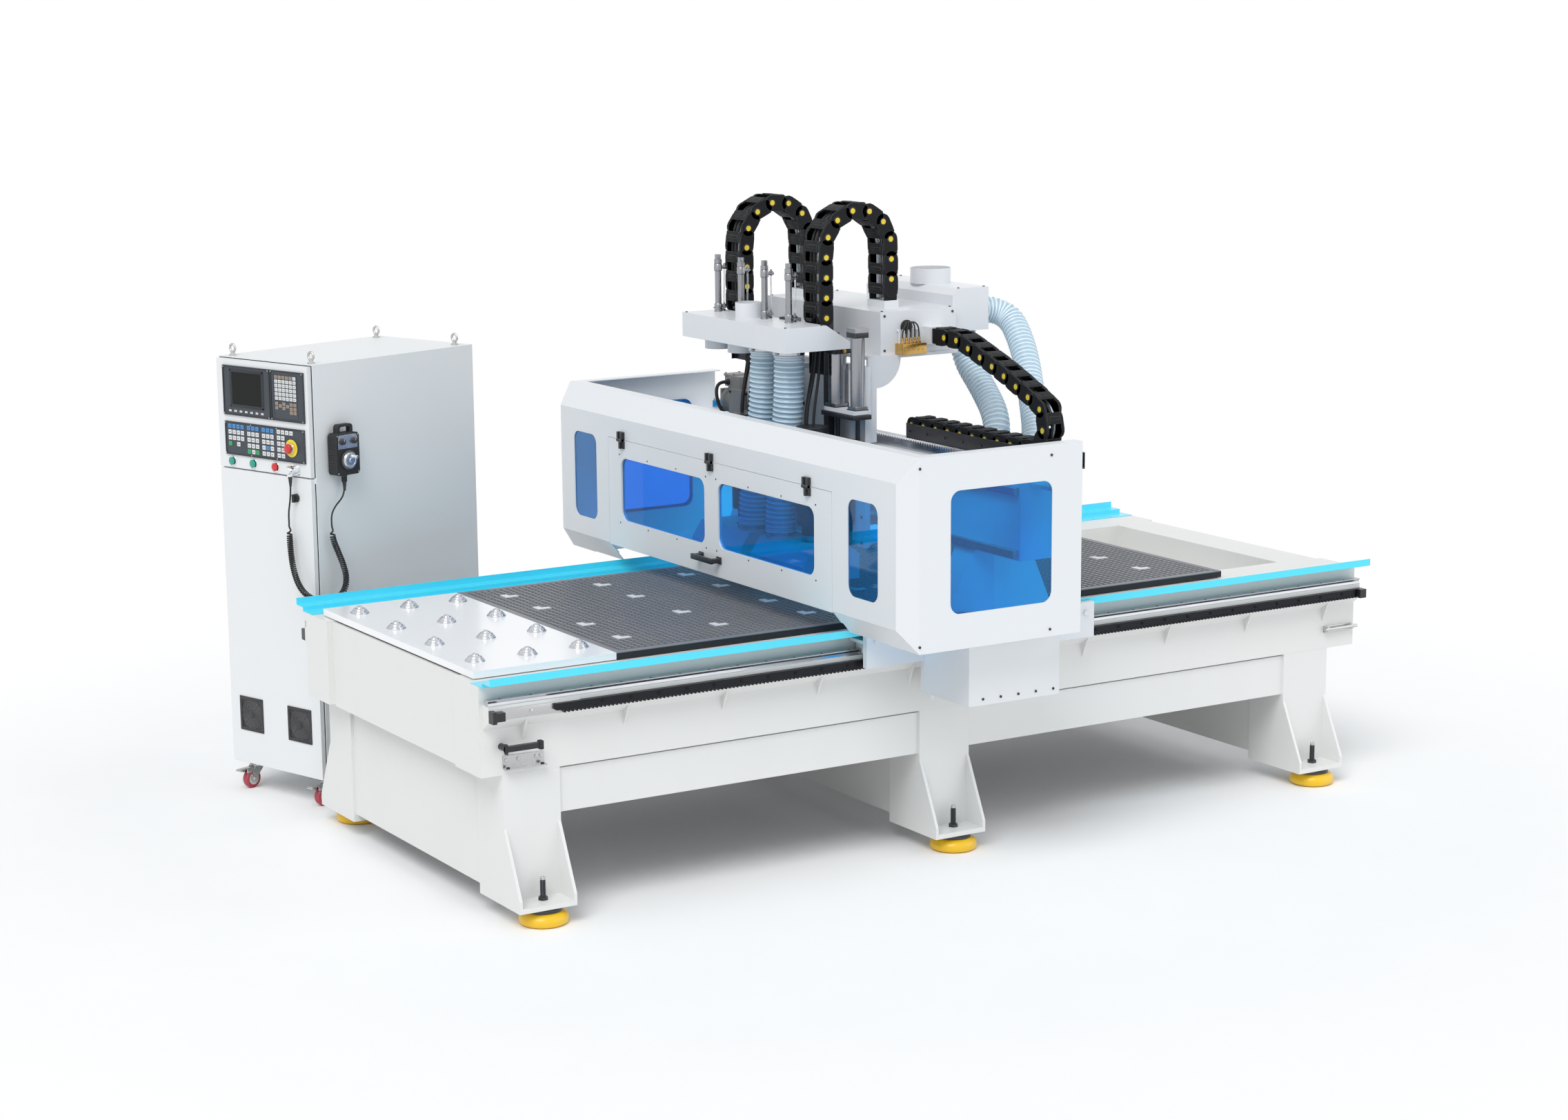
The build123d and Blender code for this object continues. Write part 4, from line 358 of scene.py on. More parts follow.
# %% Painted and moulded finishes
def painted(name, colour, rough=0.35, drift=0.05, dust=0.06, peel=420.0, bump=0.05, coat=0.0,
            dust_colour=(0.62, 0.6, 0.56), specular=0.5):
    values = {"Colour": (*colour, 1.0), "Drift": drift, "Dust": dust, "Gloss Rough": rough,
              "Peel Scale": peel, "Dust Colour": (*dust_colour, 1.0)}
    return covered(name, paint_skin, values, 0.0015, bump, PAINT_RELIEF,
                   {"Specular IOR Level": specular, "Coat Weight": coat,
                    "Coat Roughness": COAT_ROUGHNESS})


bed_white = painted("bed_white", (0.80, 0.80, 0.78), 0.34, 0.03, 0.03)
leg_white = painted("leg_white", (0.80, 0.80, 0.785), 0.38, 0.04, 0.05)
plate_white = painted("plate_white", (0.95, 0.955, 0.965), 0.22, 0.02, 0.01, coat=0.3)
guard_white = painted("guard_white", (0.79, 0.81, 0.83), 0.34, 0.006, 0.0)
cabinet_white = painted("cabinet_white", (0.815, 0.83, 0.835), 0.42, 0.02, 0.01, 900.0, 0.10)
head_white = painted("head_white", (0.78, 0.80, 0.83), 0.3, 0.02, 0.02)
hood_white = painted("hood_white", (0.74, 0.79, 0.83), 0.35, 0.03, 0.02)
cover_cyan = painted("cover_cyan", (0.08, 0.76, 0.96), 0.25, 0.03, 0.005, coat=0.35)
foot_yellow = painted("foot_yellow", (0.90, 0.55, 0.010), 0.36, 0.06, 0.04, coat=0.2)
black_satin = painted("black_satin", (0.016, 0.016, 0.020), 0.34, 0.10, 0.05,
                      dust_colour=(0.2, 0.19, 0.18))
chain_black = painted("chain_black", (0.006, 0.007, 0.009), 0.55, 0.08, 0.01, 1500.0,
                      specular=0.2, dust_colour=(0.12, 0.12, 0.12))
cap_yellow = painted("cap_yellow", (0.85, 0.62, 0.01), 0.32, 0.05, 0.03, 1500.0, coat=0.2)
panel_slate = painted("panel_slate", (0.040, 0.050, 0.066), 0.46, 0.06, 0.04, 1600.0,
                      dust_colour=(0.3, 0.3, 0.32))
rubber_black = painted("rubber_black", (0.014, 0.014, 0.015), 0.62, 0.1, 0.08, 1300.0, 0.12,
                       dust_colour=(0.16, 0.155, 0.15))
grip_grey = painted("grip_grey", (0.045, 0.046, 0.05), 0.5, 0.08, 0.06, 1200.0, 0.12,
                    dust_colour=(0.2, 0.2, 0.2))
button_red = painted("button_red", (0.62, 0.012, 0.012), 0.2, 0.04, 0.02, 1500.0, coat=0.5)
button_green = painted("button_green", (0.004, 0.33, 0.24), 0.2, 0.04, 0.02, 1500.0, coat=0.5)
stop_ring = painted("stop_ring", (0.86, 0.67, 0.02), 0.3, 0.04, 0.02, 1500.0, coat=0.3)
wheel_red = painted("wheel_red", (0.42, 0.014, 0.045), 0.4, 0.08, 0.12, 900.0)
motor_grey = painted("motor_grey", (0.30, 0.29, 0.27), 0.5, 0.12, 0.2, 600.0, 0.2)
hose_rib = painted("hose_rib", (0.78, 0.90, 0.98), 0.3, 0.04, 0.01, 900.0, coat=0.3)
print("painted finishes:", len(bpy.data.materials))

# %% Bare and plated metals
def metallic(name, colour, rough, along, contrast=0.3, bump=0.04):
    values = {"Colour": (*colour, 1.0), "Along": along, "Contrast": contrast,
              "Gloss Rough": rough}
    return covered(name, brush_lines, values, 0.001, bump, METAL_RELIEF, {"Metallic": 1.0})


rail_steel = metallic("rail_steel", (0.56, 0.57, 0.59), 0.26, (1.0, 60.0, 60.0))
rack_steel = metallic("rack_steel", (0.035, 0.036, 0.04), 0.38, (1.0, 50.0, 50.0), 0.5)
zinc_plate = metallic("zinc_plate", (0.66, 0.66, 0.64), 0.3, (14.0, 14.0, 14.0), 0.35)
chrome_bright = metallic("chrome_bright", (0.86, 0.87, 0.89), 0.08, (20.0, 20.0, 20.0), 0.08,
                         0.01)
chrome_soft = metallic("chrome_soft", (0.62, 0.64, 0.67), 0.12, (20.0, 20.0, 20.0), 0.15, 0.01)
cylinder_alu = metallic("cylinder_alu", (0.40, 0.41, 0.43), 0.27, (60.0, 60.0, 1.0), 0.4)
tool_steel = metallic("tool_steel", (0.52, 0.53, 0.55), 0.24, (60.0, 60.0, 2.0))
brass_block = metallic("brass_block", (0.72, 0.45, 0.14), 0.3, (20.0, 20.0, 20.0), 0.35)
steel_dark = metallic("steel_dark", (0.09, 0.09, 0.10), 0.36, (30.0, 30.0, 30.0), 0.4)
clamp_steel = metallic("clamp_steel", (0.62, 0.62, 0.62), 0.25, (8.0, 8.0, 40.0), 0.35)
print("finishes:", len(bpy.data.materials))

# %% [markdown]
# The guard windows are blue tinted polycarbonate. Real tinted sheet lets coloured light
# through, so for shadow rays the sheet is swapped for a plain coloured filter; otherwise the
# inside of the guard would be black. The hoses are clear film, half milky, half glass.

# %% Clear finishes
def hazy(name, colour, scale, shade_share, rough):
    """A shader whose colour and gloss drift slowly over the sheet."""
    finish, tree, shader = start_material(name)
    haze = noise_node(tree, object_place(tree), scale, 4.0, 0.6)
    shaded = (*(value * shade_share for value in colour), 1.0)
    feed(tree, shader, {"Base Color": mix_colour(tree, haze, (*colour, 1.0), shaded),
                        "Roughness": math_node(tree, "MULTIPLY", haze, rough * 2.0)})
    return finish, tree, shader, haze


def clear_sheet(name, tint, filter_tint, rough=0.03, milky=0.0, ior=1.45):
    finish, tree, shader, haze = hazy(name, tint, 6.0, 0.86, rough)
    feed(tree, shader, {"Transmission Weight": 1.0 - milky, "IOR": ior})
    plain = add_node(tree, "BsdfTransparent", {"Color": (*filter_tint, 1.0)})
    ray = add_node(tree, "LightPath")
    swap = add_node(tree, "MixShader", {0: ray.outputs["Is Shadow Ray"], 1: shader.outputs[0],
                                        2: plain.outputs[0]})
    feed(tree, tree.nodes["Material Output"], {"Surface": swap.outputs[0]})
    return finish


def thin_film(name, colour, cover, rough):
    """A skin too thin to bend light: the shader's alpha lets part of it through."""
    finish, tree, shader, haze = hazy(name, colour, 14.0, 0.82, rough)
    shift = math_node(tree, "MULTIPLY", haze, 0.2)
    feed(tree, shader, {"Alpha": math_node(tree, "ADD", shift, cover, clamp=True)})
    return finish


guard_blue = clear_sheet("guard_blue", (0.008, 0.42, 1.0), (0.38, 0.78, 1.0), 0.015, 0.045)
film_clear = clear_sheet("film_clear", (0.93, 0.95, 0.97), (0.95, 0.96, 0.97), 0.1, 0.1, 1.2)
hose_film = thin_film("hose_film", (0.56, 0.78, 0.93), 0.6, 0.2)
print("clear finishes ready")

# %% [markdown]
# Every solid that keeps its shape gets the finish of the real part. The mesh is left alone;
# only the material slots are set.

# %% Finishes on the solid parts
part_finishes = (
    (bed_white, "bed_frame"), (leg_white, "legs"), (foot_yellow, "leveling_feet"),
    (plate_white, "loading_plate"), (cover_cyan, "rail_covers"),
    (cabinet_white, "cabinet_shell cabinet_door console_door"), (panel_slate, "console_panel"),
    (rail_steel, "x_rails y_rails"), (rack_steel, "x_pinions y_pinion"),
    (zinc_plate, "casters eyebolts"), (chrome_bright, "cord_connector pendant_handwheel"),
    (rubber_black, "pendant_body lock_knob"), (guard_blue, "guard_windows door_windows"),
    (guard_white, "gantry_columns x_carriages x_drive_boxes guard_shell guard_door"),
    (head_white, "gantry_beam head_carriage head_box front_manifold rear_manifold"),
    (hood_white, "dust_hood_right dust_hood_left"), (cylinder_alu, "air_cylinders"),
    (motor_grey, "y_drive"), (tool_steel, "dust_gates spindle_rotor_right spindle_rotor_left"),
    (black_satin, "end_stops guard_hinges door_hardware spindle_unit_right spindle_unit_left "
                  "pendant_knob_left pendant_knob_right"),
    (button_red, "estop_button stop_button"), (button_green, "run_button reset_button"))
for finish, node_names in part_finishes:
    for node_name in node_names.split():
        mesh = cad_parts[node_name].data
        mesh.materials.clear()
        mesh.materials.append(finish)
print("finished the solid parts of", len(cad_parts), "nodes")

# %% [markdown]
# Cords, cables and hoses follow smooth lines. A line is a spline through a few control points,
# read back as many points. Ribs and turns of a coil need even steps along it, and a pair of
# side directions at each step that turns as little as possible, or the tube would twist.

# %% Reading a smooth line
def spline_object(name, points, drawing_frame, bevel=0.0, resolution=8):
    data = bpy.data.curves.new(name, "CURVE")
    data.dimensions = "3D"
    data.resolution_u = resolution
    data.bevel_depth = bevel
    data.bevel_resolution = 3
    line = data.splines.new("NURBS")
    line.points.add(len(points) - 1)
    for spot, point in zip(line.points, points):
        spot.co = (*(drawing_frame @ Vector(point)), 1.0)
    line.order_u = 3
    line.use_endpoint_u = True
    item = bpy.data.objects.new(name, data)
    bpy.context.scene.collection.objects.link(item)
    return item


def read_line(points, resolution=24):
    """Points read along the smooth spline that has these control points."""
    item = spline_object("route", points, Matrix.Identity(4), resolution=resolution)
    bpy.context.view_layer.update()
    line = bpy.data.meshes.new_from_object(item)
    spots = [vertex.co.copy() for vertex in line.vertices]
    bpy.data.meshes.remove(line)
    bpy.data.objects.remove(item)
    return spots


def line_length(spots):
    return sum((b - a).length for a, b in zip(spots, spots[1:]))


def even_steps(spots, step):
    """The same line in even steps, and its length."""
    total = line_length(spots)
    count = max(2, round(total / step))
    goal, made, gone = total / count, [spots[0]], 0.0
    for a, b in zip(spots, spots[1:]):
        length = (b - a).length
        while len(made) < count and gone + length >= goal * len(made):
            made.append(a.lerp(b, (goal * len(made) - gone) / length))
        gone += length
    return made + [spots[-1]], total


def way_at(spots, number):
    """Direction of a line at one of its points."""
    return (spots[min(number + 1, len(spots) - 1)] - spots[max(number - 1, 0)]).normalized()


def frames_along(spots):
    """(point, side, other side) along a line, turning as little as possible."""
    made, side = [], None
    for number, spot in enumerate(spots):
        ahead = way_at(spots, number)
        side = ahead.orthogonal() if side is None else side - side.dot(ahead) * ahead
        side.normalize()
        made.append((spot, side.copy(), ahead.cross(side)))
    return made


print("line tools ready")

# %% [markdown]
# The extra pieces are drawn with a small sketchbook. A `Sheet` collects boxes, turned shapes,
# tubes and flat cut-outs in one mesh, in the millimetres of its drawing frame. Its ink is the
# number of the finish for what is drawn next. At the end the sheet is carried into the model,
# given its finishes, and set to ride on a body.

# %% The drawing sheet
SMOOTH_ANGLE = math.radians(38)
BOX_FACES = ((0, 1, 3, 2), (4, 6, 7, 5), (0, 4, 5, 1), (2, 3, 7, 6), (0, 2, 6, 4), (1, 5, 7, 3))


def turn_to(direction):
    return Vector(direction).to_track_quat("Z", "Y").to_matrix().to_4x4()


class Sheet:
    def __init__(self, drawing_frame=BED):
        self.mesh = bmesh.new()
        self.drawing_frame = drawing_frame
        self.ink = 0

    def face(self, corners):
        face = self.mesh.faces.new(corners)
        face.material_index = self.ink
        return face

    def box(self, x, y, z, chamfer=0.0, spin=None):
        points = [self.mesh.verts.new(corner)
                  for corner in product(sorted(x), sorted(y), sorted(z))]
        faces = [self.face([points[number] for number in face]) for face in BOX_FACES]
        if spin is not None:
            bmesh.ops.transform(self.mesh, matrix=spin, verts=points)
        if chamfer:
            edges = list({edge for face in faces for edge in face.edges})
            made = bmesh.ops.bevel(self.mesh, geom=edges, offset=chamfer, segments=2,
                                   profile=0.6, affect="EDGES", clamp_overlap=True)
            for face in made["faces"]:
                face.material_index = self.ink

    def ring(self, centre, radius, side_way, other_way, sides):
        """Corners of one ring; a radius of zero gives a single point."""
        if radius <= 0:
            return [self.mesh.verts.new(centre)]
        angles = [2 * math.pi * side / sides for side in range(sides)]
        return [self.mesh.verts.new(centre + radius * (math.cos(angle) * side_way
                                                       + math.sin(angle) * other_way))
                for angle in angles]

    def skin(self, rings, closed=True, inks=None):
        """Faces from ring to ring; closed puts a face over each open end as well."""
        for number, (lower, upper) in enumerate(zip(rings, rings[1:])):
            if inks:
                self.ink = inks[number % len(inks)]
            sides = max(len(lower), len(upper))
            for side in range(sides):
                other = (side + 1) % sides
                if len(lower) == 1:
                    self.face((lower[0], upper[other], upper[side]))
                elif len(upper) == 1:
                    self.face((lower[side], lower[other], upper[0]))
                else:
                    self.face((lower[side], lower[other], upper[other], upper[side]))
        for ring in (rings[0], rings[-1]):
            if closed and len(ring) > 1:
                self.face(ring)

    def lathe(self, base, direction, profile, sides=24, closed=True):
        """profile is (radius, height) from the base up."""
        side_way, other_way, axis = turn_to(direction).to_3x3().transposed()
        self.skin([self.ring(Vector(base) + height * axis, radius, side_way, other_way, sides)
                   for radius, height in profile], closed)

    def tube(self, points, radius, sides=10):
        points = [Vector(point) for point in points]
        self.skin([self.ring(spot, radius, side_way, other_way, sides)
                   for spot, side_way, other_way in frames_along(points)])

    def cable(self, points, radius, sides=8, resolution=8):
        """A round tube along the smooth line through control points."""
        self.tube(read_line(points, resolution), radius, sides)

    def plate(self, outline, thickness, pose):
        """A flat outline in x and y, drawn up by thickness, then put in place by pose."""
        low, high = ([self.mesh.verts.new(pose @ Vector((x, y, z))) for x, y in outline]
                     for z in (0, thickness))
        self.face(low)
        self.face(high)
        for number in range(len(outline)):
            other = (number + 1) % len(outline)
            self.face((low[number], low[other], high[other], high[number]))

    def finish(self, name, body, finishes, slot, stands_for=()):
        self.mesh.transform(self.drawing_frame)
        bmesh.ops.recalc_face_normals(self.mesh, faces=self.mesh.faces)
        for face in self.mesh.faces:
            face.smooth = True
        data = bpy.data.meshes.new(name)
        self.mesh.to_mesh(data)
        self.mesh.free()
        data.set_sharp_from_angle(angle=SMOOTH_ANGLE)
        for item in finishes:
            data.materials.append(item)
        piece = bpy.data.objects.new(name, data)
        bpy.context.scene.collection.objects.link(piece)
        if body:
            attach(piece, body)
        if stands_for:
            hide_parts(*stands_for)
        print(name, "has", len(data.polygons), "faces")
        return piece


def hexagon_head(sheet, spot, direction, across, height):
    sheet.lathe(spot, direction, [(across * 0.577, 0), (across * 0.577, height * 0.85),
                                  (across * 0.5, height)], 6)


def cap_screw(sheet, spot, direction, radius, height):
    """A socket-head or button screw, with its socket sunk in the top."""
    sheet.lathe(spot, direction, [(radius, 0), (radius, height * 0.8), (radius * 0.88, height),
                                  (radius * 0.5, height), (radius * 0.45, height * 0.4),
                                  (0, height * 0.4)], 12)


def screw_grid(sheet, xs, ys, zs, direction, radius, height):
    """Cap screws on a grid; xs, ys and zs are each one number or several."""
    steps = [values if isinstance(values, tuple) else (values,) for values in (xs, ys, zs)]
    for spot in product(*steps):
        cap_screw(sheet, spot, direction, radius, height)


print("drawing sheet ready")

# %% [markdown]
# The hand pendant hangs on a curly cord: a straight lead from the connector, a long tight coil
# that droops round the cabinet's corner, and a second lead up into the pendant. All three are
# one length of cord, so they are one smooth spline. The coil needs a middle line first; that
# line is a spline of its own, and the helix is wound round the points read back from it.

# %% Curly cord
CORD_RADIUS = 3.5
COIL_RADIUS = 9.5
TURN_PITCH = 8.4
TURN_POINTS = 12
LEAD_PITCH = 70.0      # the coil opens out where it meets its straight leads
GATHER_LENGTH = 55.0
lead_points = [(186, -472, 1335), (186, -472, 1288), (180, -472, 1238), (168, -472, 1194)]
coil_points = [(168, -472, 1150), (168, -472, 1078), (177, -475, 1012), (198, -481, 954),
               (230, -485, 904), (262, -475, 870), (292, -448, 849), (317, -411, 842),
               (334, -372, 857), (340, -343, 891), (336, -332, 934), (328, -340, 984),
               (318, -358, 1040), (310, -376.5, 1094), (310, -376.5, 1146)]
side_points = [(310, -376.5, 1184), (312, -354.5, 1218), (312, -318.5, 1242),
               (310, -302.5, 1274), (310, -302.5, 1306)]

coil_line, coil_length = even_steps(read_line(coil_points), TURN_PITCH / TURN_POINTS)
coil_step = coil_length / (len(coil_line) - 1)
helix, angle = [], 0.0
for number, (spot, side, other) in enumerate(frames_along(coil_line)):
    from_end = min(number, len(coil_line) - 1 - number) * coil_step
    share = min(1.0, from_end / GATHER_LENGTH)
    share = share * share * (3 - 2 * share)
    pitch = LEAD_PITCH + (TURN_PITCH - LEAD_PITCH) * share
    helix.append(spot + COIL_RADIUS * share * (math.cos(angle) * side + math.sin(angle) * other))
    angle += 2 * math.pi * coil_step / pitch
cord_points = lead_points + helix + side_points
CORD_LENGTH = line_length(read_line(cord_points, 4)) * MM
pendant_cord = spline_object("pendant_curly_cord", cord_points, CABINET, CORD_RADIUS * MM, 3)
pendant_cord.data.use_fill_caps = True
pendant_cord.data.materials.append(rubber_black)
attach(pendant_cord, "base")
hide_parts("cord_lead_cabinet", "pendant_cord", "cord_lead_pendant")
print("curly cord:", round(angle / (2 * math.pi)), "turns,", round(CORD_LENGTH, 2), "m of cord")

# %% [markdown]
# The energy chains carry the cables. Each link is two side plates with round ends, joined by
# flat bars on both faces, and a yellow cap covers each pivot. Links are rigid, so the chain is
# stepped along its path in equal pitches, which gives the faceted arch of the real thing.
# The bars leave gaps, so the tubes inside are modelled as well.

# %% Steps along a bent path
def bent_path(corners, radii, degrees=4):
    """A line through corners that are rounded by radii."""
    corners = [Vector(corner) for corner in corners]
    made = [corners[0]]
    for before, corner, after, radius in zip(corners, corners[1:], corners[2:], radii):
        back, ahead = (before - corner).normalized(), (after - corner).normalized()
        half = back.angle(ahead) / 2
        reach = radius / math.tan(half)
        first, last = corner + back * reach, corner + ahead * reach
        centre = corner + (back + ahead).normalized() * radius / math.sin(half)
        count = max(2, round(math.degrees(math.pi - 2 * half) / degrees))
        out, away = (first - centre).normalized(), (last - centre).normalized()
        made += [centre + radius * out.slerp(away, step / count) for step in range(count + 1)]
    return made + [corners[-1]]


def capsule(x0, x1, radius, steps=7):
    """Outline of a bar with round ends."""
    points = []
    for centre, start in ((x1, -90), (x0, 90)):
        for step in range(steps + 1):
            angle = math.radians(start + 180 * step / steps)
            points.append((centre + radius * math.cos(angle), radius * math.sin(angle)))
    return points


print("path tools ready")

# %% Link chain
LINK_PITCH = 80.0
LINK_HALF_HEIGHT = 31.0
PLATE = 6.0
LAP = 0.8              # how far the outer plate stays inside the chain's width
CAP_RADIUS = 10.5
chain_finishes = [chain_black, cap_yellow, film_clear, rubber_black, hose_rib]


def link_chain(name, corners, radii, across, width, tubes):
    pivots, length = even_steps(bent_path(corners, radii), LINK_PITCH)
    across = Vector(across)
    sheet = Sheet()
    half = width / 2
    for start, end in zip(pivots, pivots[1:]):
        reach = (end - start).length
        ahead = (end - start).normalized()
        turn = Matrix((ahead, across.cross(ahead), across)).transposed().to_4x4()
        pose = Matrix.Translation(start) @ turn
        for side in (-1, 1):
            plates = ((reach, LINK_HALF_HEIGHT - 2, PLATE, half - 2 * PLATE, half - PLATE),
                      (reach * 0.52, LINK_HALF_HEIGHT, PLATE - LAP, half - PLATE, half - LAP))
            sheet.ink = 0
            for far_end, radius, thickness, inner, outer in plates:
                low = min(side * inner, side * outer)
                sheet.plate(capsule(0, far_end, radius), thickness,
                            pose @ Matrix.Translation((0, 0, low)))
            centre = pose @ Vector((0, 0, side * (half - 1.2)))
            sheet.lathe(centre, side * across, [(CAP_RADIUS + 4, 0), (CAP_RADIUS + 4, 0.9),
                                                (CAP_RADIUS + 1, 0.9)], 20)
            sheet.ink = 1
            sheet.lathe(centre, side * across, [(CAP_RADIUS, 0.4), (CAP_RADIUS, 1.5),
                                                (CAP_RADIUS - 1.5, 2.0),
                                                (CAP_RADIUS - 4, 1.5)], 20)
        sheet.ink = 0
        for side in (-1, 1):
            low, high = side * (LINK_HALF_HEIGHT - 3), side * (LINK_HALF_HEIGHT + 2)
            sheet.box((reach * 0.22, reach * 0.78), (low, high), span(0, half - PLATE), 1.6, pose)
            sheet.box((reach * 0.42, reach * 0.58), (low, high + side * 1.6),
                      span(0, half * 0.55), 0.8, pose)
            for end_side in (-1, 1):
                sheet.box((reach * 0.26, reach * 0.74), (high, high + side * 1.4),
                          (end_side * half * 0.62, end_side * half * 0.84), 0.6, pose)
    for offset, drop, radius, ink in tubes:
        sheet.ink = ink
        line = [spot + across * offset + across.cross(way_at(pivots, number)) * drop
                for number, spot in enumerate(pivots)]
        sheet.tube(even_steps(read_line(line, 6), 16)[0], radius, 8)
    print(name, "has", len(pivots) - 1, "links over", round(length), "mm")
    return sheet.finish(name, None, chain_finishes, "chain_plastic")


print("chain tools ready")

# %% [markdown]
# Two chains stand in an arch over the spindle units and one lies in a tray on the beam. Each
# chain bends between two bodies and rides on neither of them.

# %% Chains placed across the joints they serve
CHAIN_WIDTH = 118.0
SPINDLE_LEG_X, BOX_LEG_X = -139.0, 157.0
ARCH_TOP, ARCH_RADIUS = 2344.0, 147
CHAIN_NEAR_YS = {"right": -100.0, "left": 485.0}
z_tubes = [(-34, 8, 7, 3), (-18, -6, 8, 2), (-2, 8, 6, 2), (12, -8, 8, 3), (28, 4, 7, 4),
           (40, -8, 5, 3)]
for side_name, near_y in CHAIN_NEAR_YS.items():
    y = near_y + CHAIN_WIDTH / 2
    corners = [(SPINDLE_LEG_X, y, 1940), (SPINDLE_LEG_X, y, ARCH_TOP), (BOX_LEG_X, y, ARCH_TOP),
               (BOX_LEG_X, y, 1996)]
    chain = link_chain("z_chain_" + side_name, corners, (ARCH_RADIUS, ARCH_RADIUS), PLUS_Y,
                       CHAIN_WIDTH, z_tubes)
    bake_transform(chain)
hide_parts("cable_chains_z")

y_corners = [(275, -120, 1503), (275, -970, 1503), (275, -970, 1655), (275, -690, 1770),
             (275, -420, 1862), (275, -258, 1862)]
y_tubes = [(-22, 6, 7, 3), (-8, -7, 7, 2), (6, 7, 6, 3), (20, -4, 7, 4)]
y_chain = link_chain("y_chain", y_corners, (72, 72, 300, 200), PLUS_X, 80, y_tubes)
tray = Sheet()
for x in (225.0, 322.0):
    tray.box((x, x + 3), (-1110, -100), (1450, 1510), 0.8)
tray.box((225, 325), (-1110, -100), (1450, 1455))
for y in range(-1080, -100, 120):
    for x, outward in ((223, MINUS_X), (327, PLUS_X)):
        cap_screw(tray, (x, y, 1480), outward, 5, 2.5)
tray.finish("chain_tray", "gantry", [black_satin], "black_steel", ["cable_chain_y"])
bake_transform(y_chain)
print("chains placed")

# %% [markdown]
# The dust hoses are thin clear film with a stiff rib wound round it. The film is see-through,
# so the ribs of the far side show faintly, and the rib is what gives the hose its shine. Both
# are drawn as one lathed tube whose radius rises at each rib, with two finishes.

# %% Ribbed hose
HOSE_SIDES = 40
FRONT_CREST, REAR_CREST, RIB_DEPTH, RIB_PITCH = 59.5, 52.4, 4.4, 19.0
RIB_PROFILE = (0.0, 0.12, 0.8, 1.0, 0.85, 0.12)
RIB_INKS = (0, 0, 1, 1, 0, 0)


def ribbed_hose(name, points, crest):
    line, length = even_steps(read_line(points, 16), RIB_PITCH)
    fine, _ = even_steps(line, RIB_PITCH / len(RIB_PROFILE))
    sheet = Sheet()
    rings = []
    for number, (spot, side, other) in enumerate(frames_along(fine)):
        radius = crest - RIB_DEPTH * (1 - RIB_PROFILE[number % len(RIB_PROFILE)])
        rings.append(sheet.ring(spot, radius, side, other, HOSE_SIDES))
    sheet.skin(rings, False, RIB_INKS)
    print(name, "is", round(length), "mm long")
    return sheet.finish(name, None, [hose_film, hose_rib], "hose_clear")


def hose_clamp(sheet, spot, direction, crest, width=12.0):
    """A steel band with its worm screw housing."""
    radius = crest - 0.6
    sheet.lathe(spot, direction, [(radius, 0), (radius + 1.6, 0.4), (radius + 1.6, width - 0.4),
                                  (radius, width)], 40)
    pose = Matrix.Translation(spot) @ turn_to(direction)
    sheet.box((radius, radius + 9), span(0, 11), (0, width), 1.5, pose)
    sheet.lathe(pose @ Vector((radius + 5, 11, width / 2)), pose.to_3x3() @ Vector(PLUS_Y),
                [(4.5, 0), (4.5, 6), (3, 7), (0, 7)], 8)


STATION_X = -236.0
STATION_YS = (17.0, 194.0, 371.0, 548.0)
PORT_X = -250.0
PORT_YS = (62.0, 262.0)
MANIFOLD_FLOOR = 1825.0
HOOD_ROOF = 1085.0
for side_name, station_y, port_y in zip(("right", "left"), STATION_YS, PORT_YS):
    top, bottom = MANIFOLD_FLOOR - 3, HOOD_ROOF + 3
    lean_x, lean_y = PORT_X - STATION_X, port_y - station_y
    route = [(STATION_X, station_y, top), (STATION_X, station_y, top - 150),
             (STATION_X + 0.3 * lean_x, station_y + 0.3 * lean_y, top - 320),
             (STATION_X + 0.8 * lean_x, station_y + 0.8 * lean_y, bottom + 200),
             (PORT_X, port_y, bottom + 90), (PORT_X, port_y, bottom)]
    hose = ribbed_hose("dust_hose_ribbed_" + side_name, route, FRONT_CREST)
    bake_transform(hose)
    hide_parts("dust_hose_" + side_name)

rear_routes = {
    "upper": [(562, -95, 1930), (702, -95, 1930), (655, -285, 1790), (580, -438, 1621),
              (480, -610, 1470), (385, -640, 1390), (385, -640, 1244)],
    "lower": [(478, -115, 1858), (478, -115, 1764), (465, -285, 1640), (425, -430, 1545),
              (385, -470, 1435), (385, -470, 1244)]}
for which, route in rear_routes.items():
    hose = ribbed_hose("rear_hose_ribbed_" + which, route, REAR_CREST)
    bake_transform(hose)
    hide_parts("rear_hose_" + which)

# %% Steel clamps on the hoses
clamps = Sheet()
for station_y in STATION_YS[:2]:
    hose_clamp(clamps, (STATION_X, station_y, MANIFOLD_FLOOR - 26), UP, FRONT_CREST)
hose_clamp(clamps, (566, -95, 1930), PLUS_X, REAR_CREST)
hose_clamp(clamps, (478, -115, 1854), DOWN, REAR_CREST)
clamps.finish("hose_clamps_upper", "head", [clamp_steel], "zinc")
for side_name, port_y in zip(("right", "left"), PORT_YS):
    clamps = Sheet()
    hose_clamp(clamps, (PORT_X, port_y, HOOD_ROOF + 8), UP, FRONT_CREST)
    clamps.finish("hose_clamp_" + side_name, "spindle_" + side_name, [clamp_steel], "zinc")
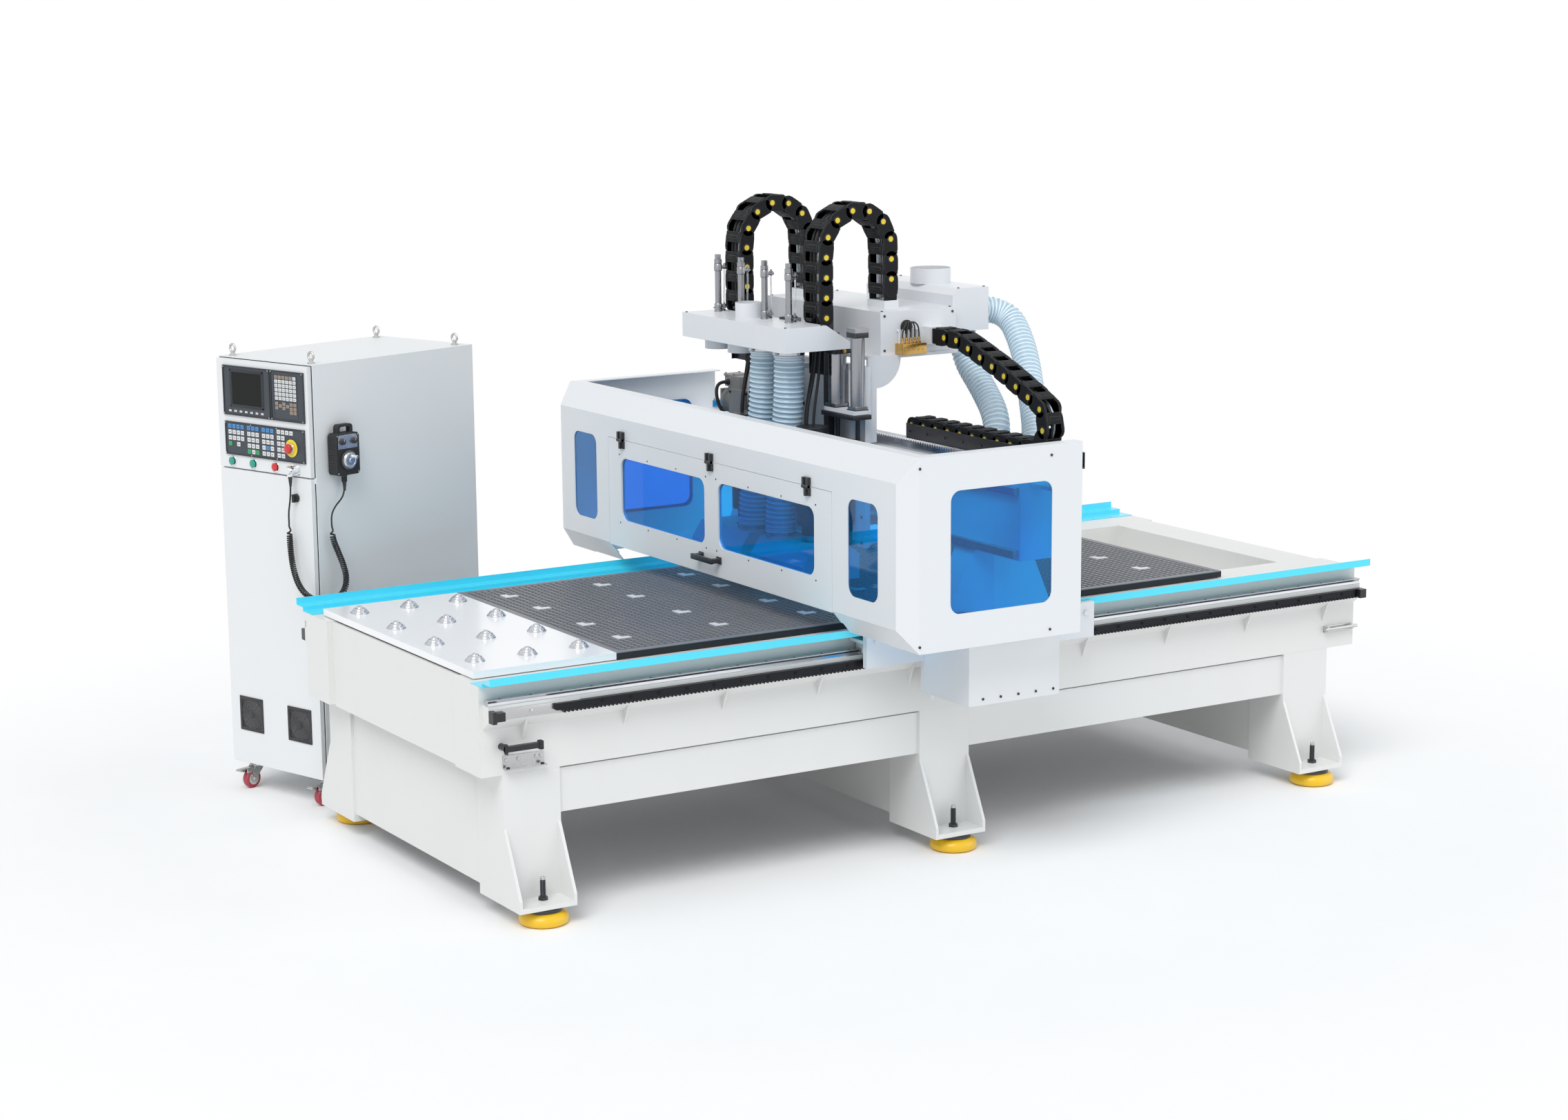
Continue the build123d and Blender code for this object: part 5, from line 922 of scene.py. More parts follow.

# %% [markdown]
# The vacuum table is a dark board milled with a square grid of grooves, with a plain strip
# round its edge. Rows of pale plugs close the suction ports. The grid is real relief, so it
# still reads as grooves when the light is low. The bottoms of the grooves are painted near
# black as painted shade.

# %% Vacuum table
CELL_PITCH = 27.0
GROOVE_WIDTH = 8.0
GROOVE_DEPTH = 3.0
EDGE_STRIP = 30.0
PLUG_GAP = 1.0
PLUG_ROWS = (461.0, 175.0, -176.0, -461.0)
PLUG_FIRST_X, PLUG_PITCH, PLUG_COLUMNS = -1250.0, 392.0, 7
board_grey = painted("board_grey", (0.175, 0.182, 0.20), 0.42, 0.10, 0.10, 700.0, 0.15,
                     dust_colour=(0.34, 0.33, 0.32))
# painted shade: the groove bottoms are near black
groove_painted_shade = painted("groove_painted_shade", (0.010, 0.011, 0.014), 0.6, 0.08, 0.02, 900.0,
                      dust_colour=(0.14, 0.13, 0.12))
plug_white = painted("plug_white", (0.80, 0.81, 0.82), 0.4, 0.05, 0.08, 1200.0)

low, high = (BED.inverted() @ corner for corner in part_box("vacuum_table"))
table_top = high.z
x0, x1 = low.x + EDGE_STRIP, high.x - EDGE_STRIP
y0, y1 = low.y + EDGE_STRIP, high.y - EDGE_STRIP
relief_z = (table_top - GROOVE_DEPTH - 0.5, table_top)
table = Sheet()
# the board under the grooves takes the near-black painted shade finish
table.ink = 1
table.box((low.x, high.x), (low.y, high.y), (low.z, table_top - GROOVE_DEPTH))
table.ink = 0
for x in ((low.x, x0), (x1, high.x)):
    table.box(x, (low.y, high.y), relief_z, 0.8)
for y in ((low.y, y0), (y1, high.y)):
    table.box((x0, x1), y, relief_z, 0.8)
columns = int((x1 - x0 - GROOVE_WIDTH) / CELL_PITCH)
rows = int((y1 - y0 - GROOVE_WIDTH) / CELL_PITCH)
pitch_x = (x1 - x0 - GROOVE_WIDTH) / columns
pitch_y = (y1 - y0 - GROOVE_WIDTH) / rows
plug_columns = {round((PLUG_FIRST_X + number * PLUG_PITCH - x0) / pitch_x)
                for number in range(PLUG_COLUMNS)}
plug_rows = {round((y - y0) / pitch_y) for y in PLUG_ROWS}
plug_cells = {(column + shift_x, row + shift_y) for column in plug_columns for row in plug_rows
              for shift_x, shift_y in ((0, 0), (0, 1), (1, 0))}
for column, row in product(range(columns), range(rows)):
    x = x0 + GROOVE_WIDTH + column * pitch_x
    y = y0 + GROOVE_WIDTH + row * pitch_y
    plug = (column, row) in plug_cells
    table.ink = 2 if plug else 0
    gap = PLUG_GAP if plug else GROOVE_WIDTH
    table.box((x, x + pitch_x - gap), (y, y + pitch_y - gap), relief_z)
table.finish("vacuum_grid", "base", [board_grey, groove_painted_shade, plug_white], "table_grey",
             ["vacuum_table"])
print(columns, "x", rows, "cells")

# %% [markdown]
# The ball units on the loading plate are bright pressed domes with a steel ball in the crown.
# Their stepped profile catches a ring of light at each step, which is what the eye sees first.

# %% Ball units
BALL_COLUMNS = (-1850.0, -1645.0, -1440.0)
BALL_ROWS = (-495.0, -165.0, 165.0, 495.0)
BALL_RADIUS, BALL_LIFT = 16.0, 13.0
SCREW_CIRCLE = 33.5
dome = [(36, 0), (36, 2.6), (34.5, 4.6), (31.6, 5), (31, 8.6), (29.6, 9.6), (28.6, 9.8),
        (27.8, 12.8), (26.2, 13.8), (25, 14), (23.6, 16.6), (21.6, 18), (19.4, 19.6),
        (17, 20.2), (15.2, 19.8)]
crown = [(BALL_RADIUS * math.cos(math.radians(angle)),
          BALL_LIFT + BALL_RADIUS * math.sin(math.radians(angle)))
         for angle in range(25, 90, 8)] + [(0, BALL_LIFT + BALL_RADIUS)]
balls = Sheet()
for x, y in product(BALL_COLUMNS, BALL_ROWS):
    balls.lathe((x, y, table_top), UP, dome, 40, False)
    balls.lathe((x, y, table_top), UP, crown, 32, False)
    for angle in (math.radians(30 + 120 * number) for number in range(3)):
        spot = (x + SCREW_CIRCLE * math.cos(angle), y + SCREW_CIRCLE * math.sin(angle),
                table_top + 2.4)
        cap_screw(balls, spot, UP, 2.2, 1.4)
balls.finish("ball_domes", "base", [chrome_soft], "ball_steel", ["ball_transfers"])

# %% [markdown]
# The feet are painted pads, rounded like cushions, on a dark threaded stud with a lock nut.

# %% Levelling feet
FOOT_XS = (-1756.2, -27.5, 1729.9)
FOOT_Y = 791.0
PLATE_TOP = 83.0
THREAD_PITCH, THREAD_TURNS = 3.3, 18
pad = [(60, 0), (78, 1.5), (85, 6), (88, 14), (88, 24), (85, 33), (78, 41), (66, 46.5),
       (50, 49), (30, 50), (0, 50)]
thread = []
for step in range(THREAD_TURNS):
    thread += [(10.4, step * THREAD_PITCH), (8.8, (step + 0.5) * THREAD_PITCH)]
feet = Sheet()
for x, y in product(FOOT_XS, (-FOOT_Y, FOOT_Y)):
    feet.ink = 0
    feet.lathe((x, y, 0), UP, pad, 48)
    feet.ink = 1
    feet.lathe((x, y, 48), UP, [(66, 0), (66, 12), (60, 17), (18, 17)], 40)
    hexagon_head(feet, (x, y, PLATE_TOP), UP, 32.0, 12.0)
    feet.lathe((x, y, PLATE_TOP + 12), UP, thread + [(9, 61)], 20)
    feet.ink = 2
    feet.lathe((x, y, PLATE_TOP + 73), UP, [(9, 0), (9, 8), (7, 10), (0, 10)], 20)
feet.finish("feet", "base", [foot_yellow, steel_dark, zinc_plate], "foot_yellow",
            ["leveling_feet"])

# %% [markdown]
# The rails and racks share one solid part, so the faces below the rail seat get the darker
# finish; the end stops are split the same way. The rails' screws, a strip with its bolts at
# the loading end, and the clamps at both ends of the near side are added on top.

# %% Rails, racks and their screws
RACK_TOP_Z, CLAMP_TOP_Z = 0.787, 0.612


def lower_finish(node_name, finish, top_z):
    """A second finish for the faces of a solid part that lie below a height."""
    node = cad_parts[node_name]
    node.data.materials.append(finish)
    for face in node.data.polygons:
        if (node.matrix_world @ face.center).z < top_z:
            face.material_index = 1


lower_finish("x_rails", rack_steel, RACK_TOP_Z)
lower_finish("end_stops", clamp_steel, CLAMP_TOP_Z)
rail_screws = Sheet()
for side, outward in ((-1, MINUS_Y), (1, PLUS_Y)):
    rail_screws.ink = 1
    for number in range(31):
        cap_screw(rail_screws, (-1520 + number * 112, side * 820, 767), outward, 6.0, 3.2)
    rail_screws.ink = 0
    for number in range(33):
        rail_screws.lathe((-1900 + number * 118, side * 784, 817), UP,
                          [(5.4, 0), (5.4, 0.4), (4.6, 0.4), (0, 0.4)], 12)
    rail_screws.ink = 2
    rail_screws.box((-1946, -1600), (side * 797.5, side * 803), (746, 783), 0.8)
    rail_screws.ink = 3
    for x in (-1905, -1790, -1675):
        hexagon_head(rail_screws, (x, side * 803, 765), outward, 12.0, 4.0)
rail_screws.finish("rail_screws", "base", [steel_dark, rack_steel, clamp_steel, zinc_plate],
                   "rail_steel")

clamp_bits = Sheet()
for x in (-1868, -1820, -1752, -1733):
    hexagon_head(clamp_bits, (x, -755, 590), MINUS_Y, 12.0, 4.5)
clamp_bits.ink = 1
for x in (-1868, -1736):
    clamp_bits.lathe((x, -771, 564), UP, [(6.5, 0), (6.5, 3), (5.5, 4), (0, 4)], 16)
clamp_bits.box((-1893, -1883), (-808, -792), (622, 658), 3.0)
clamp_bits.box((-1764, -1748), (-812, -788), (624, 656), 4.0)
# the same clamp folded away at the far end of the bed
clamp_bits.ink = 0
clamp_bits.box((1806, 1946), (-764, -751.4), (603, 609), 1.5)
clamp_bits.box((1806, 1946), (-757, -751.4), (603, 629), 1.5)
clamp_bits.tube([(1800, -772, 618), (1964, -772, 618)], 6.5, 14)
for x in (1812, 1938):
    clamp_bits.box(span(x, 7), (-778, -752), (608, 628), 2.0)
clamp_bits.finish("clamp_bits", "base", [zinc_plate, rubber_black], "zinc")

# %% [markdown]
# The console and its keys are drawn in the cabinet frame, where the front door is at a known
# depth and y points into the cabinet. The keys stand in the groups of a common mill keyboard.
# They carry only a small dash for a legend.

# %% Screen panel and its keys
FRONT_Y = -440.0
PANEL_Y = -444.0
KEY_RISE = 2.4
WHITE_KEY, BLUE_KEY, GREEN_KEY, TAN_KEY, SCREEN, BEZEL, SCREW, LEGEND = range(8)
key_white = painted("key_white", (0.74, 0.75, 0.74), 0.4, 0.05, 0.02, 2400.0)
key_blue = painted("key_blue", (0.055, 0.27, 0.62), 0.4, 0.05, 0.02, 2400.0)
key_green = painted("key_green", (0.015, 0.42, 0.13), 0.4, 0.05, 0.02, 2400.0)
key_tan = painted("key_tan", (0.34, 0.27, 0.21), 0.45, 0.05, 0.02, 2400.0)
screen_black = painted("screen_black", (0.004, 0.006, 0.006), 0.3, 0.05, 0.01, 60.0,
                       specular=0.2, dust_colour=(0.05, 0.055, 0.06))
bezel_grey = painted("bezel_grey", (0.014, 0.018, 0.024), 0.5, 0.05, 0.03, 1600.0,
                     dust_colour=(0.1, 0.1, 0.1))
dial_silver = metallic("dial_silver", (0.80, 0.81, 0.83), 0.2, (25.0, 25.0, 25.0), 0.12, 0.02)
console = Sheet(CABINET)


def key(x, z, width, height, ink):
    console.ink = ink
    console.box(span(x, width / 2), (PANEL_Y - KEY_RISE, PANEL_Y), span(z, height / 2), 0.9)
    console.ink = LEGEND
    console.box(span(x, width * 0.2), (PANEL_Y - KEY_RISE - 0.25, PANEL_Y - KEY_RISE + 0.2),
                span(z, height * 0.07))


def frame_strip(x, z, width, rise):
    """Four raised strips round a rectangle."""
    for across, upward in ((x, (z[0], z[0] + width)), (x, (z[1] - width, z[1])),
                           ((x[0], x[0] + width), z), ((x[1] - width, x[1]), z)):
        console.box(across, (PANEL_Y - rise, PANEL_Y), upward, min(1.2, width / 3))


console.ink = SCREEN
console.box((-177, 1), (PANEL_Y + 0.2, PANEL_Y + 1.4), (1586, 1718))
console.ink = BEZEL
for x, z, width, rise in (((-190, 13), (1577, 1729), 11, 2), ((-232, 52), (1544, 1742), 5, 3),
                          ((56, 253), (1544, 1742), 5, 3), ((-230, 248), (1385, 1518), 5, 2.5),
                          ((76, 216), (1553, 1725), 2, 0.8)):
    frame_strip(x, z, width, rise)
console.ink = SCREW
screw_grid(console, (-225, 45, 63, 246), PANEL_Y - 3, (1550, 1736), MINUS_Y, 2.8, 1.6)
screw_grid(console, (-224, -70, 85, 242), PANEL_Y - 2.5, (1391, 1512), MINUS_Y, 2.8, 1.6)
for number in range(7):
    key(-192 + number * 32.5, 1562, 15, 8, WHITE_KEY)
for row, column in product(range(6), range(6)):
    key(92 + column * 21.6, 1716 - row * 16.6, 17.2, 13.4,
        TAN_KEY if row == 0 and column < 5 else WHITE_KEY)
for column, row in ((0, 0), (2, 0), (4, 0), (5, 0), (1, 0.5), (3, 0.5), (0, 1), (2, 1), (4, 1),
                    (5, 1), (4, 1.9), (5, 1.9)):
    key(92 + column * 21.6, 1612 - row * 16.6, 17.2, 13.0, TAN_KEY)

# %% [markdown]
# The machine's own keys stand in four groups below the screen. Each text is one group, row by
# row: a letter is one key and a dot is an empty place.

# %% Machine keys
MACHINE_PITCH_X, MACHINE_PITCH_Z, MACHINE_TOP_Z = 25.0, 23.5, 1500.0
letters = {"w": WHITE_KEY, "b": BLUE_KEY, "g": GREEN_KEY}
for first_x, group in ((-199, "bbbb wwww wwww g.w."), (-84, "bbb www www www gwg"),
                       (5, "bbb www www wbw www"), (95, "wwww ww ww ww ww")):
    for row, line in enumerate(group.split()):
        for column, letter in enumerate(line):
            if letter != ".":
                key(first_x + column * MACHINE_PITCH_X, MACHINE_TOP_Z - row * MACHINE_PITCH_Z,
                    19.5, 17.0, letters[letter])
console.finish("console_keys", "base", [key_white, key_blue, key_green, key_tan, screen_black,
                                        bezel_grey, zinc_plate, bezel_grey], "panel_grey")

# %% [markdown]
# Below the keys are three push buttons with chrome rings. Beside the keys is the emergency
# stop, a red mushroom on a bright stem over a yellow disc. Each cap rides on its own body, so
# that it moves when it is pressed.

# %% Push buttons and emergency stop
STOP_X, STOP_Z = 170, 1441
buttons = {"run_button": (-194, 1359, button_green, "green_plastic"),
           "reset_button": (-67, 1359, button_green, "green_plastic"),
           "stop_button": (66, 1358, button_red, "red_plastic")}
rings = Sheet(CABINET)
for x, z, _, _ in buttons.values():
    rings.lathe((x, FRONT_Y, z), MINUS_Y,
                [(20.5, 0), (20.5, 1.8), (19, 3.1), (12, 3.3), (12, 2)], 36, False)
rings.ink = 1
rings.lathe((STOP_X, PANEL_Y - 1.8, STOP_Z), MINUS_Y,
            [(35, 0), (35, 1.4), (33.6, 2.4), (17, 2.8), (15.2, 1.5)], 48, False)
rings.ink = 0
rings.lathe((STOP_X, PANEL_Y - 2, STOP_Z), MINUS_Y,
            [(17, 0), (17, 5.0), (15.6, 6.2), (9.8, 6.2)], 36, False)
rings.finish("button_rings", "base", [chrome_bright, stop_ring], "panel_grey")

for node, (x, z, finish, slot) in buttons.items():
    cap = Sheet(CABINET)
    cap.lathe((x, FRONT_Y + 3, z), MINUS_Y, [(10.6, 0), (10.6, 9.5), (15.6, 9.8), (16.6, 11),
                                             (16.4, 13), (14, 14.8), (9, 15.8), (0, 16.2)], 36)
    cap.finish(node + "_cap", node, [finish], slot, [node])

stop = Sheet(CABINET)
stop.ink = 1
stop.lathe((STOP_X, -422, STOP_Z), MINUS_Y, [(8.9, 0), (8.9, 34.7), (10.5, 35.4)], 28)
stop.ink = 0
stop.lathe((STOP_X, -457.3, STOP_Z), MINUS_Y, [(10.5, 0), (17, 1.2), (19.6, 4), (20, 8),
                                               (19.2, 11.4), (16.4, 14), (10, 15), (0, 15.2)], 40)
stop.finish("stop_mushroom", "estop_button", [button_red, chrome_bright], "red_plastic",
            ["estop_button"])

# %% [markdown]
# The pendant plugs in through an angled connector. A boot of black rings takes the bend where
# the cord leaves it, and a longer boot does the same under the pendant.

# %% Connector and its boot
PLUG_X, PLUG_Y, PLUG_Z, PLUG_BOTTOM = 186.0, -472.0, 1359.0, 1335.0
RING_PITCH = 6.2
plug = Sheet(CABINET)
plug.box(span(PLUG_X, 24), (FRONT_Y - 4, FRONT_Y), span(PLUG_Z, 20), 2.0)
knurl = [(16.4, 0), (16.4, 2)]
for step in range(5):
    knurl += [(17, 3 + step * 3.2), (16, 4.6 + step * 3.2)]
plug.lathe((PLUG_X, FRONT_Y - 4, PLUG_Z), MINUS_Y,
           knurl + [(15.4, 21), (15.4, 24), (16.6, 25), (16.6, 40), (14.4, 43.6), (6, 44)], 32)
plug.lathe((PLUG_X, PLUG_Y, PLUG_BOTTOM), UP, [(11, 0), (12, 1.2), (12, 8), (11, 9), (11, 12),
                                               (12, 13), (12, 24)], 28)
screw_grid(plug, span(PLUG_X, 18), FRONT_Y - 4, span(PLUG_Z, 14), MINUS_Y, 3.0, 2.0)
plug.ink = 1


def ribbed_boot(top, bottom, count):
    """Profile of a strain relief that narrows away from the housing; heights run downward."""
    profile = []
    for step in range(count):
        radius = top + (bottom - top) * step / count
        profile += [(radius - cut, RING_PITCH * step + height)
                    for cut, height in ((0, 0), (0, 3.6), (1.6, 4.0), (1.6, 5.8))]
    return profile + [(bottom, RING_PITCH * count), (bottom - 0.6, RING_PITCH * count + 4)]


plug.lathe((PLUG_X, PLUG_Y, PLUG_BOTTOM + 1), DOWN, ribbed_boot(9.4, 5.0, 6), 24)
plug.finish("cord_plug", "base", [chrome_bright, rubber_black], "zinc", ["cord_connector"])

# %% [markdown]
# The pendant has a bright plate behind its two selectors, ribbed grips at its sides, and a
# handwheel with a knob to crank it.

# %% Pendant
PENDANT_YS, PENDANT_ZS = (-362.0, -243.0), (1335.0, 1500.0)
PENDANT_FACE, PENDANT_MIDDLE, CORD_X, WHEEL_Z = 338.0, -302.5, 310.0, 1394.0
KNOB_YS = {"left": -332.0, "right": -273.0}
MARK_CIRCLE = 17
upright = Matrix(((0, 0, 1), (1, 0, 0), (0, 1, 0))).to_4x4()
pendant = Sheet(CABINET)
face_outline = [(-352, 1440), (-253, 1440), (-253, 1484), (-262, 1494), (-343, 1494),
                (-352, 1484)]
pendant.plate(face_outline, 1.0, Matrix.Translation((PENDANT_FACE - 0.2, 0, 0)) @ upright)
pendant.ink = 1
for side_y, out in zip(PENDANT_YS, (-1, 1)):
    for z in range(1352, 1450, 11):
        pendant.box((PENDANT_FACE - 44, PENDANT_FACE - 4), (side_y - out * 3, side_y + out * 1.8),
                    (z, z + 6.5), 1.4)
pendant.lathe((CORD_X, PENDANT_MIDDLE, 1335), DOWN, [(15, 0), (14, 3), (12.4, 6)], 24)
pendant.lathe((CORD_X, PENDANT_MIDDLE, 1330), DOWN, ribbed_boot(11.2, 5.2, 9), 24)
for knob_y in KNOB_YS.values():
    for angle in (math.radians(-60 + 20 * step) for step in range(7)):
        pendant.box((PENDANT_FACE + 0.7, PENDANT_FACE + 1.1),
                    span(knob_y + MARK_CIRCLE * math.sin(angle), 0.8),
                    span(1466 + MARK_CIRCLE * math.cos(angle), 1.6))
pendant.ink = 2
screw_grid(pendant, PENDANT_FACE, (PENDANT_YS[0] + 8, PENDANT_YS[1] - 8),
           (PENDANT_ZS[0] + 9, PENDANT_ZS[1] - 9), PLUS_X, 3.2, 1.6)
pendant.finish("pendant_trim", "base", [dial_silver, rubber_black, zinc_plate], "black_rubber")

# %% Pendant handwheel and knobs
wheel = Sheet(CABINET)
wheel.ink = 1
wheel.lathe((PENDANT_FACE - 10, PENDANT_MIDDLE, WHEEL_Z), PLUS_X,
            [(4, 0), (4, 10.6), (39, 10.6), (40, 12), (40, 15), (38.5, 16.6), (30, 16.8)], 56)
wheel.ink = 2
dial = Matrix.Translation((PENDANT_FACE + 6.6, PENDANT_MIDDLE, WHEEL_Z))
for step in range(50):
    radius, half = (34.8, 1.5) if step % 5 else (34.0, 2.4)
    wheel.box((0, 0.5), span(0, 0.45), span(radius, half), 0,
              dial @ Matrix.Rotation(2 * math.pi * step / 50, 4, "X"))
wheel.ink = 0
rim = [(30, 0), (30.4, 1)]
for step in range(4):
    rim += [(30.4, 2 + step * 2.2), (29.6, 3.1 + step * 2.2)]
wheel.lathe((PENDANT_FACE + 6, PENDANT_MIDDLE, WHEEL_Z), PLUS_X,
            rim + [(30, 11), (28.6, 12.4), (22, 12.7), (21, 11.6), (9, 11.6), (8, 13.4),
                   (0, 13.6)], 56)
wheel.lathe((PENDANT_FACE + 17, PENDANT_MIDDLE + 18, WHEEL_Z + 12), PLUS_X,
            [(7.5, 0), (5.5, 2), (5.5, 6), (7.5, 10), (7.5, 15), (6, 17), (0, 17.4)], 24)
wheel.finish("pendant_dial", "pendant_handwheel", [dial_silver, black_satin, key_white], "zinc",
             ["pendant_handwheel"])
for side_name, knob_y in KNOB_YS.items():
    node = "pendant_knob_" + side_name
    knob = Sheet(CABINET)
    knob.lathe((PENDANT_FACE + 0.6, knob_y, 1468), PLUS_X,
               [(12.6, 0), (13, 1), (13, 3), (11.4, 4), (10.6, 11), (9.6, 12.4), (0, 12.6)], 16)
    knob.box((PENDANT_FACE + 4, PENDANT_FACE + 15), span(knob_y, 3), (1457, 1480), 1.4)
    knob.ink = 1
    knob.box((PENDANT_FACE + 14.8, PENDANT_FACE + 15.4), span(knob_y, 0.8), (1469, 1479))
    knob.finish("pendant_selector_" + side_name, node, [black_satin, key_white],
                "black_plastic", [node])

# %% [markdown]
# The caster forks are pressed zinc, with red wheels and a long brake pedal that points away
# from the cabinet. The fan grilles are black squares with rings round a hub.

# %% Casters and fan grilles
WHEEL_RADIUS, WHEEL_TRAIL, CABINET_FLOOR = 38.5, 26.0, 110.0
cheek = [(20, 90), (-22, 90), (-40, 52), (-40, 36), (-34, 27), (-20, 26), (-10, 34), (-4, 52),
         (20, 80)]
casters = Sheet(CABINET)
for x, y in product((-220, 220), (-370, 370)):
    wheel_y = y - WHEEL_TRAIL
    casters.ink = 0
    casters.box(span(x, 34), span(y, 34), (CABINET_FLOOR - 4.5, CABINET_FLOOR), 1.4)
    casters.lathe((x, y, CABINET_FLOOR - 22), UP, [(20, 0), (25, 2), (26, 8), (22, 11),
                                                   (24, 12), (24, 17)], 32)
    for bolt_x, bolt_y in product(span(x, 25), span(y, 25)):
        hexagon_head(casters, (bolt_x, bolt_y, CABINET_FLOOR - 4.5), DOWN, 10.0, 4.0)
    casters.box(span(x, 20.5), (y - 22, y + 20), (CABINET_FLOOR - 22, CABINET_FLOOR - 18.5), 1.2)
    for side, outward in ((-1, MINUS_X), (1, PLUS_X)):
        cheek_x = x + 17 if side > 0 else x - 20
        casters.plate(cheek, 3.0, Matrix.Translation((cheek_x, y, 0)) @ upright)
        casters.lathe((x + side * 20, wheel_y, WHEEL_RADIUS), outward,
                      [(9, 0), (9, 2), (7, 2.4), (6.4, 7), (0, 7)], 6)
        casters.lathe((x + side * 15.4, wheel_y, WHEEL_RADIUS), outward,
                      [(25, 0), (23, 0.8), (12, 0.9), (9, 1.6)], 32, False)
        casters.box((x + side * 15, x + side * 12), (y - 60, y - 20), (66, 86), 1.0)
    casters.box(span(x, 15), (y - 92, y - 34), (83, 87), 1.6)
    casters.box(span(x, 17), (y - 96, y - 74), (78, 83), 2.0)
    casters.ink = 1
    casters.lathe((x - 15, wheel_y, WHEEL_RADIUS), PLUS_X,
                  [(26, 0), (34, 0.6), (37.4, 4), (38.5, 9), (38.5, 21), (37.4, 26),
                   (34, 29.4), (26, 30)], 48)
casters.finish("caster_set", "base", [zinc_plate, wheel_red], "zinc", ["casters"])

FAN_Z, FAN_HALF, FAN_OPENING = 325.0, 70.5, 58
grilles = Sheet(CABINET)
for x in (-146.5, 147.0):
    across, opening = span(x, FAN_HALF), span(x, FAN_OPENING)
    upward, gap = span(FAN_Z, FAN_HALF), span(FAN_Z, FAN_OPENING)
    grilles.ink = 0
    for bar_x, bar_z in ((across, (gap[1], upward[1])), (across, (upward[0], gap[0])),
                         ((across[0], opening[0]), gap), ((opening[1], across[1]), gap)):
        grilles.box(bar_x, (FRONT_Y - 3.5, FRONT_Y + 2), bar_z, 1.2)
    grilles.box(span(x, 59), (FRONT_Y + 0.6, FRONT_Y + 1.8), span(FAN_Z, 59))
    for degrees in (45, 135, 225, 315):
        spin = Matrix.Translation((x, 0, FAN_Z)) @ Matrix.Rotation(math.radians(degrees), 4, "Y")
        grilles.box((14, 80), (FRONT_Y - 1.6, FRONT_Y + 1), span(0, 2), 0.6, spin)
    grilles.lathe((x, FRONT_Y + 1, FAN_Z), MINUS_Y, [(16, 0), (16, 2.4), (14, 3.4), (0, 3.6)], 32)
    grilles.ink = 1
    for radius in (22.5 + number * 6.1 for number in range(7)):
        grilles.lathe((x, FRONT_Y + 1, FAN_Z), MINUS_Y,
                      [(radius - 1.3, 0), (radius - 0.9, 2.2), (radius + 0.9, 2.2),
                       (radius + 1.3, 0)], 44, False)
    grilles.ink = 2
    screw_grid(grilles, span(x, 63), FRONT_Y - 3.5, span(FAN_Z, 63), MINUS_Y, 3.0, 1.2)
grilles.finish("fan_grilles", "base", [black_satin, grip_grey, steel_dark], "black_plastic")

# %% [markdown]
# The head carries small fittings that give it its scale. Each gate cylinder has a turned foot
# and cap, a clevis with its pin, two elbow fittings and an air line.

# %% Gate cylinders and their air lines
GATE_TOP = 2146.0
gate_bits = Sheet()
for x, y in ((STATION_X, station_y) for station_y in STATION_YS):
    gate_bits.ink = 0
    gate_bits.lathe((x, y, 1920), UP, [(17, 0), (17, 3), (15, 4), (15, 18), (16, 19), (16, 30),
                                       (14.6, 32), (12.7, 33)], 28)
    gate_bits.lathe((x, y, 2080), UP, [(12.7, 0), (14.6, 1.5), (16, 3), (16, 26), (14, 29),
                                       (11, 31), (11, 36)], 28)
    gate_bits.box(span(x, 8), (y - 11, y - 5.5), (2112, GATE_TOP), 1.8)
    gate_bits.box(span(x, 8), (y + 5.5, y + 11), (2112, GATE_TOP), 1.8)
    gate_bits.box(span(x, 8), span(y, 11), (2108, 2124), 1.8)
    gate_bits.lathe((x, y - 12, 2136), PLUS_Y, [(4.4, 0), (4.4, 24)], 16)
    for z, reach in ((2094, 27), (1938, 24)):
        gate_bits.lathe((x + 14, y, z), PLUS_X,
                        [(6, 0), (6, reach - 17), (7.2, reach - 16), (7.2, reach - 8),
                         (5, reach - 6), (5, reach)], 16)
        gate_bits.lathe((x + reach + 3, y, z - 8), UP, [(5.5, 0), (6.4, 1), (6.4, 12), (7.4, 13),
                                                        (7.4, 17), (4, 18), (4, 24)], 16)
    gate_bits.ink = 1
    gate_bits.cable([(x + 30, y, 2084), (x + 33, y + 4, 2044), (x + 31, y + 6, 1984),
                     (x + 34, y + 12, 1934), (x + 42, y + 26, 1925)], 3.2)
    gate_bits.ink = 2
    gate_bits.cable([(x + 27, y, 1926), (x + 40, y + 6, 1922), (x + 46, y + 50, 1923),
                     (x + 44, y + 110, 1923)], 2.8)
for y in (90, 250, 420):
    gate_bits.cable([(STATION_X + 40, y, 1923), (STATION_X + 52, y + 30, 1930),
                     (STATION_X + 46, y + 66, 1923)], 5.0)
gate_bits.finish("gate_cylinder_fittings", "head", [cylinder_alu, film_clear, rubber_black],
                 "cylinder_alu")

# %% [markdown]
# The balance cylinders are clamped between square end blocks, on a black shelf. The chain that
# follows each spindle bolts to a folded black plate.

